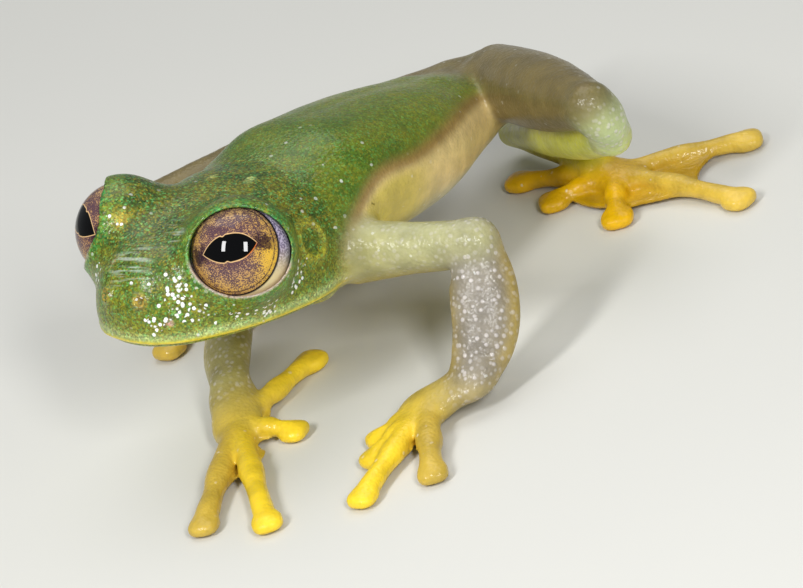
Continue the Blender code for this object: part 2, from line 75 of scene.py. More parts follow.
# centre, half width, reach above and below it, and the section's tilt in degrees
TRUNK_STATIONS = (
    (0.25, -3.0, 6.20, 3.58, 2.45, 2.55, 16.0),
    (0.15, -0.5, 5.70, 3.68, 2.35, 2.60, 14.0),
    (0.15, 2.3, 5.02, 3.42, 2.15, 2.36, 14.0),
    (0.10, 4.8, 4.38, 2.62, 1.80, 1.82, 13.0),
    (0.05, 7.0, 3.98, 2.00, 1.40, 1.45, 8.0),
    (0.00, 9.2, 3.92, 1.50, 0.98, 0.95, 0.0),
    (0.00, 10.35, 4.05, 0.85, 0.62, 0.55, -4.0),
    (0.00, 10.70, 4.10, 0.35, 0.30, 0.25, -5.0),
)
STEPS_PER_STATION = 24
SECTION_POWER = 2.27
CENTRE = (0, 1, 2)
forms = []


def in_head(point):
    """A point of the head's frame in the body's millimetres."""
    return EYES_MIDPOINT + head_turn @ np.asarray(point, float)


def spline(points, steps):
    """Catmull-Rom samples through rows of numbers."""
    rows = np.asarray(points, float)
    padded = np.concatenate([rows[:1], rows, rows[-1:]])
    t = (np.arange(steps) / steps)[:, None]
    out = []
    for i in range(len(rows) - 1):
        a, b, c, d = padded[i:i + 4]
        out.append(0.5 * (2 * b + (c - a) * t + (2 * a - 5 * b + 4 * c - d) * t * t
                          + (3 * b - a - 3 * c + d) * t ** 3))
    out.append(rows[-1:])
    return np.concatenate(out)


def add_form(distance, low, high, soft, kind="add", tint="body"):
    """Keeps a distance function with its box, how softly it joins and what tint it has."""
    forms.append((distance, np.asarray(low, float), np.asarray(high, float), soft, kind, tint))


# Columns: centre, sideways and upward directions, half width, reach above and below.
body_rows = []
for y, half, widest, top, bottom in HEAD_STATIONS:
    body_rows.append((*in_head((0, y, widest)), *head_side, *head_up,
                      half, top - widest, widest - bottom))
for x, y, z, half, above, below, tilt in TRUNK_STATIONS:
    lean = math.radians(tilt)
    body_rows.append((x, y, z, 1, 0, 0, 0, math.sin(lean), math.cos(lean), half, above, below))
body_table = spline(body_rows, STEPS_PER_STATION)
body_end = len(body_table) - 1
body_steps = np.arange(len(body_table), dtype=float)
body_normals = np.cross(body_table[:, 6:9], body_table[:, 3:6])
body_normals /= np.linalg.norm(body_normals, axis=1, keepdims=True)


def at_step(table, columns, t):
    """Columns of a table of the body's steps, read between its rows at each place t."""
    return np.stack([np.interp(t, body_steps, table[:, k]) for k in columns], 1)


def along_body(points):
    """The place t on the body's axis whose cross section holds each point.

    It starts from the point's y and takes four steps, each the way still to go along the
    section's normal, divided by the axis's pace along it.
    """
    t = np.interp(points[:, 1], body_table[:, 1], body_steps)
    for _ in range(4):
        normal = at_step(body_normals, CENTRE, t)
        ahead = ((points - at_step(body_table, CENTRE, t)) * normal).sum(1)
        index = np.clip(t.astype(int), 0, body_end - 1)
        pace = ((body_table[index + 1, :3] - body_table[index, :3]) * normal).sum(1)
        t = np.clip(t + ahead / np.maximum(pace, 0.01), 0, body_end)
    return t


def body_section(points, t):
    """Sideways and upward place of each point in its section, and the section's sizes."""
    rows = at_step(body_table, range(12), t)
    offset = points - rows[:, :3]
    return (offset * rows[:, 3:6]).sum(1), (offset * rows[:, 6:9]).sum(1), *rows[:, 9:].T


def section_reach(u, v, half, above, below):
    """How far the section's rim is from its centre towards (u, v), and how far the point is.

    The rim is where the shares of the half width and of the height, each raised to the
    section's power, add up to 1.
    """
    far = np.hypot(u, v) + 1e-9
    tall = np.where(v > 0, above, below)
    size = (np.abs(u / far / half) ** SECTION_POWER + np.abs(v / far / tall) ** SECTION_POWER)
    return size ** (-1 / SECTION_POWER), far


def body_distance(points):
    """Distance from the head and trunk: from the rim of the section that holds the point.

    It is divided by the slope of the form along the axis, and past the ends it counts
    the way to the end as well.
    """
    t = along_body(points)
    u, v, *sizes = body_section(points, t)
    reach, far = section_reach(u, v, *sizes)
    y_before, *before = at_step(body_table, (1, 9, 10, 11), np.clip(t - 1, 0, body_end)).T
    y_after, *after = at_step(body_table, (1, 9, 10, 11), np.clip(t + 1, 0, body_end)).T
    change = section_reach(u, v, *after)[0] - section_reach(u, v, *before)[0]
    slope = change / np.maximum(y_after - y_before, 0.02)
    offset = points - at_step(body_table, CENTRE, t)
    past = np.abs((offset * at_step(body_normals, CENTRE, t)).sum(1))
    beyond = ((t <= 0) | (t >= body_end)) & (past > 1e-3)
    return np.where(beyond, np.hypot(np.maximum(far - reach, 0), past),
                    (far - reach) / np.sqrt(1 + slope * slope))


add_form(body_distance, (-5.2, -13.6, 0.8), (5.4, 11.6, 10.6), 0.5)


# Eyelids.  Thin folds of skin domed over each eyeball, drawn back from it to an oval that
# faces a little more to the side than the eye does.  A ball round each eyeball makes them,
# and the oval is cut once the other forms are in place.
SIDES = {"left": 1.0, "right": -1.0}
EYE_PLACE = {"left": (2.79, -0.06, -0.01), "right": (-2.64, 0.00, -0.02)}
EYE_RADIUS = 1.74
LID_LOOKS = {"left": (0.616, -0.724, 0.311), "right": (-0.80, -0.53, 0.32)}
LID_OPENING = {"left": (1.74, 1.51), "right": (1.70, 1.58)}
LID_TILT = math.radians(4)
LID_RADIUS = 1.96
LID_BACK = 0.12
LID_OVERLAP = 0.03


def unit(vector):
    """The vector at a length of 1."""
    return vector / np.linalg.norm(vector)


def eye_frame(side, looks):
    """Centre of an eye, and the directions across, up and ahead of what looks that way."""
    axis = unit(head_turn @ np.array(looks[side]))
    across = unit(np.cross(head_up, axis))
    return in_head(EYE_PLACE[side]), across, np.cross(axis, across), axis


def ball_form(centre, radius):
    """A distance function for a ball: the length of the offset less the radius."""
    return lambda points: np.linalg.norm(points - centre, axis=1) - radius


def lid_reach(points, side):
    """How each point lies to the lids' oval, which is level across but for a small tilt.

    Gives its share of the oval's reach (1 at the edge), its height along the lids' axis,
    and its height above the oval's long line as a share of the short half.
    """
    centre, across, rise, axis = eye_frame(side, LID_LOOKS)
    lean = LID_TILT * SIDES[side]
    long_way = across * math.cos(lean) - rise * math.sin(lean)
    short_way = rise * math.cos(lean) + across * math.sin(lean)
    wide, tall = LID_OPENING[side]
    offset = points - centre
    level = offset @ short_way / tall
    return np.hypot(offset @ long_way / wide, level), offset @ axis, level


def lid_opening(side):
    """What the lids leave free: the lesser of the distances to the eyeball and to a drum.

    The drum stands on the oval and starts a little before the eyeball's middle.
    """
    ball = ball_form(in_head(EYE_PLACE[side]), EYE_RADIUS - LID_OVERLAP)

    def distance(points):
        """The drum is the greater of the ways outside the oval and behind its back."""
        reach, height, _ = lid_reach(points, side)
        drum = np.maximum((reach - 1) * LID_OPENING[side][1], LID_BACK - height)
        return np.minimum(ball(points), drum)
    return distance


for side in SIDES:
    centre = in_head(EYE_PLACE[side])
    add_form(ball_form(centre, LID_RADIUS), centre - 3.2, centre + 3.2, 0.9)


# Mouth.  A wide, nearly level line low on the face, with a rounded lip over a shallow lower
# jaw.  The jaw is tucked under the lip, so that from above only the lip shows.
MOUTH_FRONT = -2.86
MOUTH_SLOPE = 0.072
SNOUT_TIP = 3.3
LIP_THICKNESS = 0.10
JAW_SLOPE = 0.33
NECK_FILL = 2.0


def to_head(points):
    """Points of the body's millimetres, one a row, in the head's frame."""
    return (points - EYES_MIDPOINT) @ head_turn


def soft_step(low, high, value):
    """A smooth rise from 0 at low to 1 at high: 3 t squared less 2 t cubed."""
    t = np.clip((value - low) / (high - low), 0.0, 1.0)
    return t * t * (3 - 2 * t)


def mouth_line(local):
    """Height of each point of the head's frame above the line of the mouth."""
    return local[:, 2] - (MOUTH_FRONT + MOUTH_SLOPE * (local[:, 1] + SNOUT_TIP))


def under_jaw(points):
    """Distance from what lies below the jaw: a slope that rises from the throat to the lip.

    It starts a lip's thickness below the mouth and falls by a third of the way inwards,
    which is how deep the same place at the mouth's height lies in the head.
    """
    local = to_head(points)
    line = mouth_line(local)
    inward = -body_distance(points - np.outer(line, head_up))
    neck = NECK_FILL * soft_step(3.4, 5.4, local[:, 1])
    return line + LIP_THICKNESS + JAW_SLOPE * inward + neck


add_form(under_jaw, (-4.9, -13.2, 1.5), (5.2, -4.0, 7.5), 0.14, "cut")


# Nostrils.  Each is a low ringed swelling of skin near the tip of the snout, with a pit: a
# small ball joined to the head, and a smaller one cut from it.
NOSTRIL = np.array((0.70, -2.98, -1.22))
NOSTRIL_RADIUS = 0.34
PIT_STEP = np.array((0.13, -0.27, 0.06))
PIT_RADIUS = 0.19
for sign in SIDES.values():
    mirrored = np.array((sign, 1, 1))
    nostril = in_head(NOSTRIL * mirrored)
    pit = nostril + head_turn @ (PIT_STEP * mirrored)
    add_form(ball_form(nostril, NOSTRIL_RADIUS), nostril - 1, nostril + 1, 0.14)
    add_form(ball_form(pit, PIT_RADIUS), pit - 0.8, pit + 0.8, 0.04, "cut")


# Arms and hands.  Slender arms with a thin fringe of skin along the forearm, and four fingers
# with blunt discs and a little web.  Shoulder, elbow, wrist and palm are where the photo
# shows them, or on the flat floor below them on the frog's right.
SHOULDER = {"left": (2.8, -4.7, 4.9), "right": (-2.5, -4.2, 5.4)}
ELBOW = {"left": (8.0, -3.75, 4.78), "right": (-3.8, -4.15, 2.1)}
WRIST = {"left": (8.16, -6.7, 1.0), "right": (-1.15, -8.4, 1.0)}
PALM = {"left": (7.0, -7.8, 0.55), "right": (-0.2, -9.6, 0.55)}
# The right forearm's tint is lighter and yellower: partly the inner side's own colour, partly painted
# light against the head's shade over it.
FOREARM_TINT = {"left": "forearm", "right": "inner_forearm_painted_lighter"}
FOREARM_BOW = 0.4
HAND_FLATNESS = 0.52
FINGER_SWELL = (1.0, 1.05, 1.16, 1.22)
FINGER_TIPS = {
    "left": ((5.85, -9.5), (6.45, -10.7), (7.5, -12.95), (9.45, -11.3)),
    "right": ((-0.25, -4.8), (2.17, -9.27), (4.7, -14.7), (2.2, -15.2)),
}
# shares of each finger web's reach along its two fingers, and how far its edge is drawn in
FINGER_WEBS = ((0.40, 0.36, 0.80), (0.50, 0.46, 0.85), (0.62, 0.70, 0.74))
DIGIT_RADIUS = 0.39
DIGIT_FLATNESS = 0.9
DIGIT_SHARES = (0.0, 0.30, 0.48, 0.66, 0.86, 0.97)
DIGIT_SWELLS = (1.12, 0.98, 1.12, 0.90, 0.98, 0.80)
DIGIT_HEIGHTS = (0.56, 0.50, 0.44, 0.36, 0.34)
DISC_HALF = (0.60, 0.62, 0.30)
DISC_POWER = 2.6
ROOT_HEIGHT = 0.50
WEB_HEIGHT = 0.42
WEB_HALF_THICKNESS = 0.085


def add_limb(path, radii, soft, tint, flat=1.0, axis=(0.0, 0.0, 1.0), steps=5):
    """A limb: tapered lengths joined end to end along a smooth path.

    The nearest point of each length is found, and the radius there, which runs evenly
    along it, is taken off.  A limb may be flattened along one axis.
    """
    rows = spline([(*place, radius) for place, radius in zip(path, radii)], steps)
    places = rows[:, :3]
    widths = rows[:, 3]
    axis = unit(np.asarray(axis, float))
    grow = 1 / flat - 1

    def stretch(points):
        """Points drawn out along the axis, where the flattened limb is round."""
        return points + (points @ axis)[:, None] * axis * grow

    drawn = stretch(places)

    def distance(points):
        """Least distance over the limb's lengths."""
        away = stretch(points)
        best = np.full(len(points), 99.0)
        for a, b, r, s in zip(drawn, drawn[1:], widths, widths[1:]):
            way = b - a
            t = np.clip(((away - a) @ way) / max(way @ way, 1e-9), 0.0, 1.0)
            near = a + t[:, None] * way
            best = np.minimum(best, np.linalg.norm(away - near, axis=1) - (r + (s - r) * t))
        return best * (1 + flat) / 2

    margin = widths.max() + soft + 0.2
    add_form(distance, places.min(0) - margin, places.max(0) + margin, soft, tint=tint)


def add_digit(start, tip, tint, swell=1.0):
    """A finger or toe: three bones with swollen joints, then a flat, blunt disc."""
    end = np.array((*tip, DIGIT_HEIGHTS[-1]))
    way = (end - start) * (1, 1, 0)
    length = np.linalg.norm(way)
    way = way / length
    path = [(start[0] + way[0] * length * share, start[1] + way[1] * length * share, height)
            for share, height in zip(DIGIT_SHARES, (start[2], *DIGIT_HEIGHTS))]
    radii = [DIGIT_RADIUS * width * swell for width in DIGIT_SWELLS]
    add_limb(path, radii, 0.22, tint, flat=DIGIT_FLATNESS, steps=4)
    middle = end - way * 0.16
    across = np.array((-way[1], way[0], 0.0))

    def disc(points):
        """A rounded plate: its shares ahead, across and up, raised to a power, add up to 1."""
        offset = points - middle
        shares = (offset @ way, offset @ across, offset[:, 2] + 0.06)
        total = sum((np.abs(value) / half) ** DISC_POWER for value, half in zip(shares, DISC_HALF))
        return ((total + 1e-9) ** (1 / DISC_POWER) - 1) * 0.42

    add_form(disc, middle - 1.3, middle + 1.3, 0.16, tint=tint)


def add_web(base, tip_a, tip_b, reach_a, reach_b, dip, tint, sag=0.16):
    """Skin between two digits: a thin sheet whose free edge is hollow.

    Over the angle between the digits, the edge's distance from their root runs from one
    reach to the other, and is drawn in by the dip at the middle.
    """
    a = np.array(tip_a) - base[:2]
    b = np.array(tip_b) - base[:2]
    angle_a = math.atan2(a[1], a[0])
    span = (math.atan2(b[1], b[0]) - angle_a + math.pi) % (2 * math.pi) - math.pi
    far_a = np.linalg.norm(a) * reach_a
    far_b = np.linalg.norm(b) * reach_b

    def distance(points):
        """The greatest of the distances inside the edge, the two sides and the sheet."""
        x = points[:, 0] - base[0]
        y = points[:, 1] - base[1]
        radius = np.hypot(x, y)
        share = ((np.arctan2(y, x) - angle_a + np.pi) % (2 * np.pi) - np.pi) / span
        inner = np.clip(share, 0, 1)
        bow = 4 * inner * (1 - inner)
        edge = (far_a + (far_b - far_a) * inner) * (1 - (1 - dip) * bow)
        sides = (np.abs(share - 0.5) - 0.5) * abs(span) * radius
        sheet = np.abs(points[:, 2] - (WEB_HEIGHT - sag * bow)) - WEB_HALF_THICKNESS
        return np.maximum(np.maximum(radius - edge, sides), sheet)

    corners = np.stack([base[:2], tip_a, tip_b])
    add_form(distance, (*(corners.min(0) - 0.5), -0.3), (*(corners.max(0) + 0.5), 1.2), 0.16,
             tint=tint)


for side, sign in SIDES.items():
    shoulder = np.array(SHOULDER[side])
    elbow = np.array(ELBOW[side])
    wrist = np.array(WRIST[side])
    palm = np.array(PALM[side])
    out = elbow - shoulder
    down = wrist - elbow
    edge = np.array((sign * 0.8, 0.6, 0.0))
    bow = edge * FOREARM_BOW
    forearm = [elbow, elbow + down * 0.3 + bow * 0.7, elbow + down * 0.62 + bow * 1.3,
               elbow + down * 0.88 + bow, wrist + bow * 0.3]
    add_limb([shoulder - unit(out) * 0.8, shoulder, shoulder + out * 0.5, elbow],
             (1.35, 1.16, 0.86, 0.80), 0.6, "upper_arm")
    add_limb(forearm, (0.80, 1.02, 1.04, 0.84, 0.62), 0.35, FOREARM_TINT[side], flat=0.64,
             axis=np.cross(down, edge))
    outer = [place + edge * reach for place, reach in zip(forearm, (0.62, 0.95, 1.02, 0.90, 0.72))]
    add_limb(outer, (0.18, 0.26, 0.28, 0.28, 0.24), 0.22, "fringe")
    inner = [place - edge * reach for place, reach in zip(forearm[1:], (0.93, 0.97, 0.82, 0.62))]
    add_limb(inner, (0.13, 0.15, 0.18, 0.18), 0.2, "fringe")
    under = np.array((0.0, -0.25, -0.9))
    add_limb([shoulder + out * 0.1 + under * 1.05, shoulder + out * 0.5 + under * 0.8,
              shoulder + out * 0.85 + under * 0.72], (0.25, 0.24, 0.18), 0.3, "fringe")
    hand = unit(palm - wrist)
    carpus = wrist + (0, 0, -0.1)
    add_limb([wrist - hand * 0.5 + (0, 0, 0.2), carpus], (0.74, 0.84), 0.35,
             FOREARM_TINT[side], flat=HAND_FLATNESS)
    add_limb([carpus, (wrist + palm) / 2, palm, palm + hand * 0.55], (0.84, 0.92, 1.00, 0.80),
             0.35, "palm", flat=HAND_FLATNESS)
    root = np.array((palm[0], palm[1], ROOT_HEIGHT))
    tips = FINGER_TIPS[side]
    for number, tip in enumerate(tips):
        add_digit(root + unit(np.array((*tip, ROOT_HEIGHT)) - root) * 0.25, tip,
                  "finger" if number < 3 else "outer_finger", FINGER_SWELL[number])
    for number, web in enumerate(FINGER_WEBS):
        add_web(root, tips[number], tips[number + 1], *web, "web")


# Hind legs.  Folded, with thigh and shank pressed together, a long ankle and a broad foot
# whose five toes are webbed.  The left leg is the photo's, the right one mirrors its fold.
HIP = {"left": (1.2, 8.2, 4.30), "right": (-1.2, 8.0, 3.65)}
KNEE_UPPER = {"left": (9.4, 2.8, 6.4), "right": (-8.0, -2.2, 4.85)}
KNEE_LOWER = {"left": (9.2, 3.6, 4.75), "right": (-8.3, -1.8, 3.4)}
HEEL = {"left": (-0.3, 9.75, 1.15), "right": (-5.2, 9.6, 1.3)}
ANKLE = {"left": (4.6, 7.85, 0.95), "right": (-7.3, 4.0, 1.0)}
TOE_TIPS = {
    "left": ((1.0, 7.5), (3.4, 6.1), (7.1, 5.0), (11.6, 6.6), (9.6, 10.8)),
    "right": ((-4.3, 1.4), (-4.6, -0.6), (-5.2, -3.0), (-7.2, -4.8), (-10.3, -1.8)),
}
TOE_WEBS = ((0.66, 0.66, 0.80), (0.78, 0.72, 0.80), (0.80, 0.64, 0.76), (0.70, 0.80, 0.76))
for side in SIDES:
    hip = np.array(HIP[side])
    knee_a = np.array(KNEE_UPPER[side])
    knee_b = np.array(KNEE_LOWER[side])
    heel = np.array(HEEL[side])
    ankle = np.array(ANKLE[side])
    thigh = knee_a - hip
    shank = heel - knee_b
    tarsus = ankle - heel
    bend = (knee_a + knee_b) / 2 + thigh * 0.04
    add_limb([hip, hip + thigh * 0.3, hip + thigh * 0.6, hip + thigh * 0.88, knee_a],
             (1.35, 1.42, 1.32, 1.00, 0.82), 0.5, "thigh")
    add_limb([knee_a, (knee_a + bend) / 2], (0.78, 0.80), 0.3, "thigh")
    # the bend of the knee, painted in a pale glare
    add_limb([knee_a * 0.35 + bend * 0.65, bend, knee_b], (0.78, 0.80, 0.76), 0.3, "knee_glare")
    add_limb([knee_b, knee_b + shank * 0.25, knee_b + shank * 0.55, knee_b + shank * 0.85, heel],
             (0.74, 0.94, 0.88, 0.62, 0.56), 0.15, "shank")
    add_limb([heel, heel + tarsus * 0.25, heel + tarsus * 0.7, ankle], (0.54, 0.58, 0.56, 0.60),
             0.15, "tarsus", flat=0.9)
    tips = TOE_TIPS[side]
    way = unit(np.array((*tips[3], ankle[2])) - ankle)
    root = (ankle + way * 0.9) * (1, 1, 0) + (0, 0, ROOT_HEIGHT)
    add_limb([ankle, (ankle + root) / 2, root, root + way * 0.8], (0.60, 0.74, 0.98, 0.8), 0.3,
             "sole", flat=0.5)
    for number, tip in enumerate(tips):
        add_digit(root + unit(np.array((*tip, ROOT_HEIGHT)) - root) * 0.2, tip,
                  "toe" if number < 3 else "outer_toe")
    for number, web in enumerate(TOE_WEBS):
        add_web(root, tips[number], tips[number + 1], *web, "toe_web")
    add_web(root, heel[:2], tips[0], 0.50, 0.62, 0.85, "toe_web", sag=0.05)


# Ears and folds.  Eardrum, the fold over it, the lip's rim and the creases are slight rises
# and hollows of the skin itself, let into the form.  The lids' openings are cut last.
EARDRUM = np.array((3.62, 2.75, -0.30))
SWELLINGS = (
    ((1.9, -2.6, 8.0), 1.0, 0.12), ((-1.5, -2.6, 8.1), 1.0, 0.12),
    ((1.0, 5.2, 6.0), 0.8, 0.10), ((-0.9, 5.2, 5.9), 0.8, 0.10),
)


def hump(value, middle, width):
    """A smooth hump of height 1: e to the power of less the square of the steps away."""
    return np.exp(-(((value - middle) / width) ** 2))


def ear_reach(local):
    """How far each point of the head's frame is from the eardrum's middle, and if beside it."""
    far = np.hypot(local[:, 1] - EARDRUM[1], local[:, 2] - EARDRUM[2])
    return far, soft_step(2.6, 3.0, np.abs(local[:, 0]))


def skin_relief(points):
    """How far the skin is let in at each point, in millimetres; below 0 it stands proud.

    In turn: the mouth's line, the lip's rim and the jaw behind it; the eardrum's ring and
    its hollow and the fold over it; the hollow between the eyes; the swellings over the
    shoulders and hips; the groove of the spine; and a slight unevenness all over.
    """
    local = to_head(points)
    y, z = local[:, 1], local[:, 2]
    line = mouth_line(local)
    face = soft_step(3.7, 2.9, y)
    ear, beside = ear_reach(local)
    fold = np.hypot((y - 2.9) / 1.35, (z + 0.35) / 1.1) - 1
    depth = 0.10 * hump(line, 0.0, 0.06) * face
    depth -= 0.07 * hump(line, 0.15, 0.10) * face
    depth += 0.05 * soft_step(0.02, -0.10, line) * soft_step(3.9, 2.4, y)
    depth -= 0.07 * hump(ear, 0.60, 0.11) * beside
    depth += 0.05 * soft_step(0.52, 0.36, ear) * beside
    depth -= 0.07 * hump(fold, 0.0, 0.12) * beside * soft_step(-0.6, 0.1, z + (y - 2.9) * 0.25)
    depth += 0.05 * hump(local[:, 0], 0.0, 0.7) * hump(y, -0.6, 1.2) * soft_step(0.0, 0.5, z)
    for place, size, amount in SWELLINGS:
        depth -= amount * np.exp(-(((points - place) / size) ** 2).sum(1))
    x, y, z = points.T
    back = soft_step(-2.0, 0.0, y) * soft_step(5.5, 7.0, z + y * 0.27)
    depth += 0.05 * hump(x, 0.12, 0.4) * back
    depth += 0.012 * np.sin(x * 2.3 + np.sin(y * 1.7)) * np.sin(y * 2.1 + z * 1.9)
    return depth


for side in SIDES:
    centre = in_head(EYE_PLACE[side])
    add_form(lid_opening(side), centre - 2.6, centre + 2.6, 0.12, "cut")


# The skin's sheet.  One closed mesh of living skin over all the forms, which flow into each
# other: the surface where their sum is zero, found on a fine grid, thinned, and set exactly
# on that surface again.  The frog's millimetres become the model's by one step.
MM = 0.001
CELL = 0.085
GRID_LOW = (-12.0, -16.0, -0.30)
GRID_HIGH = (13.2, 13.2, 11.0)
GRID_SHIFT = 0.011
SKIN_FACES = 190000
FAR_AWAY = 9.0
eye_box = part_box("eye_left")
TO_MODEL = (np.array(eye_box[0]) + np.array(eye_box[1])) / 2 / MM - in_head(EYE_PLACE["left"])


def soft_join(a, b, soft):
    """The lesser of two distances, rounded where they differ by less than soft."""
    gap = np.maximum(soft - np.abs(a - b), 0.0)
    return np.minimum(a, b) - gap * gap / (4 * soft)


def with_form(value, distance, soft, kind):
    """The field with one more form joined to it or cut from it."""
    if kind == "cut":
        return -soft_join(-value, distance, soft)
    return soft_join(value, distance, soft)


def skin_field(points):
    """Distance from the skin at each point: all forms, the relief and the flat floor."""
    value = np.full(len(points), FAR_AWAY)
    for distance, low, high, soft, kind, _ in forms:
        near = np.flatnonzero(((points > low) & (points < high)).all(1))
        if len(near):
            value[near] = with_form(value[near], distance(points[near]), soft, kind)
    close = np.abs(value) < 0.8
    value[close] += skin_relief(points[close])
    return np.maximum(value, -points[:, 2])


def grid_values(axes):
    """The same field on a grid, worked out only in each form's box."""
    value = np.full([len(axis) for axis in axes], FAR_AWAY, np.float32)
    for distance, low, high, soft, kind, _ in forms:
        spans = tuple(slice(np.searchsorted(axis, start), np.searchsorted(axis, end))
                      for axis, start, end in zip(axes, low, high))
        block = np.meshgrid(*(axis[span] for axis, span in zip(axes, spans)), indexing="ij")
        points = np.stack([part.ravel() for part in block], 1)
        if len(points):
            far = distance(points).reshape(block[0].shape)
            value[spans] = with_form(value[spans], far, soft, kind)
    near = np.argwhere(np.abs(value) < 0.5)
    points = np.stack([axis[near[:, k]] for k, axis in enumerate(axes)], 1)
    value[tuple(near.T)] += skin_relief(points)
    return np.maximum(value, -axes[2][None, None, :].astype(np.float32))


def surface(axes, value):
    """Points and quads of the surface where the field is zero.

    Each cell of the grid that the surface crosses gets one point, the mean of the
    crossings on its edges, and each crossed edge one quad of the four cells round it.
    """
    inside = value < 0
    counts = np.zeros([size - 1 for size in value.shape], np.int8)
    total = np.zeros((*counts.shape, 3), np.float32)
    quads = []
    for k in range(3):
        first = tuple(slice(0, -1) if m == k else slice(None) for m in range(3))
        second = tuple(slice(1, None) if m == k else slice(None) for m in range(3))
        cross = inside[first] != inside[second]
        at = np.argwhere(cross)
        a = value[first][cross]
        b = value[second][cross]
        spot = at.astype(np.float32)
        spot[:, k] += a / (a - b)
        i, j = [m for m in range(3) if m != k]
        good = (at[:, i] > 0) & (at[:, j] > 0)
        good &= (at[:, i] < value.shape[i] - 1) & (at[:, j] < value.shape[j] - 1)
        at = at[good]
        ring = []
        for step_i, step_j in ((-1, -1), (0, -1), (0, 0), (-1, 0)):
            cell = at.copy()
            cell[:, i] += step_i
            cell[:, j] += step_j
            ring.append(np.ravel_multi_index(tuple(cell.T), counts.shape))
            np.add.at(counts, tuple(cell.T), 1)
            np.add.at(total, tuple(cell.T), spot[good])
        quad = np.stack(ring, 1)
        inward = (a[good] < 0) == (k == 1)
        quad[inward] = quad[inward][:, ::-1]
        quads.append(quad)
    used = np.flatnonzero(counts.ravel())
    number = np.full(counts.size, -1)
    number[used] = np.arange(len(used))
    mean = total.reshape(-1, 3)[used] / counts.ravel()[used, None]
    points = np.stack([np.interp(mean[:, k], np.arange(len(axis), dtype=np.float32), axis)
                       for k, axis in enumerate(axes)], 1)
    return points, number[np.concatenate(quads)]


def settle(points):
    """Moves points along the field's slope onto the surface: the field over the slope, twice."""
    reach = 0.02
    for _ in range(2):
        slopes = [(skin_field(points + shift) - skin_field(points - shift)) / (2 * reach)
                  for shift in np.eye(3) * reach]
        slope = np.stack(slopes, 1)
        size = np.maximum((slope * slope).sum(1), 0.2)
        step = skin_field(points)[:, None] * slope / size[:, None]
        points = points - np.clip(step, -0.06, 0.06)
    return points


def new_material(name):
    """An empty node material and its tree."""
    material = bpy.data.materials.new(name)
    material.use_nodes = True
    material.node_tree.nodes.clear()
    return material, material.node_tree


def add_mesh(name, points, faces, material):
    """A smooth mesh object from millimetre points and quads or triangles."""
    mesh = bpy.data.meshes.new(name)
    mesh.vertices.add(len(points))
    mesh.vertices.foreach_set("co", ((points + TO_MODEL) * MM).astype(np.float32).ravel())
    mesh.loops.add(faces.size)
    mesh.loops.foreach_set("vertex_index", faces.astype(np.int32).ravel())
    mesh.polygons.add(len(faces))
    mesh.polygons.foreach_set("loop_start", np.arange(0, faces.size, faces.shape[1],
                                                      dtype=np.int32))
    mesh.update(calc_edges=True)
    mesh.shade_smooth()
    mesh.materials.append(material)
    made = bpy.data.objects.new(name, mesh)
    bpy.context.scene.collection.objects.link(made)
    return made


axes = [np.arange(low, high, CELL) + GRID_SHIFT for low, high in zip(GRID_LOW, GRID_HIGH)]
points, quads = surface(axes, grid_values(axes))
skin_material, tree = new_material("frog_skin")
skin = add_mesh("skin", points, quads, skin_material)
if 2 * len(quads) > SKIN_FACES:
    thin = skin.modifiers.new("thin", "DECIMATE")
    thin.ratio = SKIN_FACES / (2 * len(quads))
    thinned = bpy.data.meshes.new_from_object(
        skin.evaluated_get(bpy.context.evaluated_depsgraph_get()))
    skin.modifiers.clear()
    skin.data = thinned
flat = np.empty(len(skin.data.vertices) * 3, np.float32)
skin.data.vertices.foreach_get("co", flat)
points = settle(flat.reshape(-1, 3).astype(float) / MM - TO_MODEL)
skin.data.vertices.foreach_set("co", ((points + TO_MODEL) * MM).astype(np.float32).ravel())
skin.data.update()


# The skin's colours.  Pigment cells in living skin: green above, cream and yellow along the
# flanks, grey arms with an ochre edge, olive thighs, yellow digits and webs.  Each form has
# its tint, and the head and trunk are painted by height; attributes carry it to the skin.
# Some of it is painted light and shade: the knees' pale glare, the right forearm's tint,
# lighter in part against the head's shade, the dark centres of the nostrils, and the patches
# of painted glints and sheen.
TINTS = {
    # the right forearm's tint is lighter in part as painted light against the head's shade
    "upper_arm": "#adab7c", "forearm": "#8a8377", "inner_forearm_painted_lighter": "#a39a62",
    "fringe": "#a68c14", "palm": "#b8a24e", "finger": "#f0cd2c", "outer_finger": "#c4a640",
    # the knee's pale green-white is painted glare over the leg's own green
    "web": "#c6a43a", "thigh": "#74663c", "knee_glare": "#bccb92", "shank": "#c6c848",
    "tarsus": "#b9b634", "sole": "#b88e00", "toe": "#e2b000", "outer_toe": "#dfbc4a",
    "toe_web": "#b48c00",
}
BODY_TINTS = {
    "crown": "#375216", "face": "#566f1a", "above lip": "#8f9a34", "lip band": "#b4c888",
    "lip line": "#ecd536", "jaw": "#aeb56a", "ear ring": "#a9a433", "eardrum": "#4d6018",
    "back": "#496616", "rump green": "#6a781e", "flank edge": "#957a45", "flank": "#e2c98c",
    "belly": "#cfc8a4", "armpit": "#cfbc48", "armpit fold": "#d2c23e", "rump": "#76673c",
    "lid": "#3c8a30", "upper margin": "#35803c", "lower margin": "#c4aea4",
}
TINT_BLEND = 0.16
HEAD_SPOTS = (
    ((-1.50, -1.52, 1.08), 0.42, "#d9b84e"), ((-0.56, 2.39, 1.53), 0.15, "#c3cf7e"),
    ((0.88, 2.85, 1.53), 0.15, "#c3cf7e"), ((0.01, -2.30, 0.20), 0.12, "#5d5360"),
    ((-0.90, -2.58, -0.14), 0.12, "#b08a86"), ((1.70, -2.77, -1.94), 0.14, "#d79a9a"),
    ((1.95, -2.70, -1.94), 0.11, "#d79a9a"), ((0.76, -3.11, -1.19), 0.27, "#bfa04a"),
    # each nostril: an ochre ring, and in it a dark centre that is painted shade of the pit
    ((-0.76, -3.11, -1.19), 0.27, "#bfa04a"), ((0.79, -3.12, -1.17), 0.12, "#4a4322"),
    ((-0.79, -3.12, -1.17), 0.12, "#4a4322"), ((1.45, 1.30, 1.60), 0.10, "#a88a80"),
)
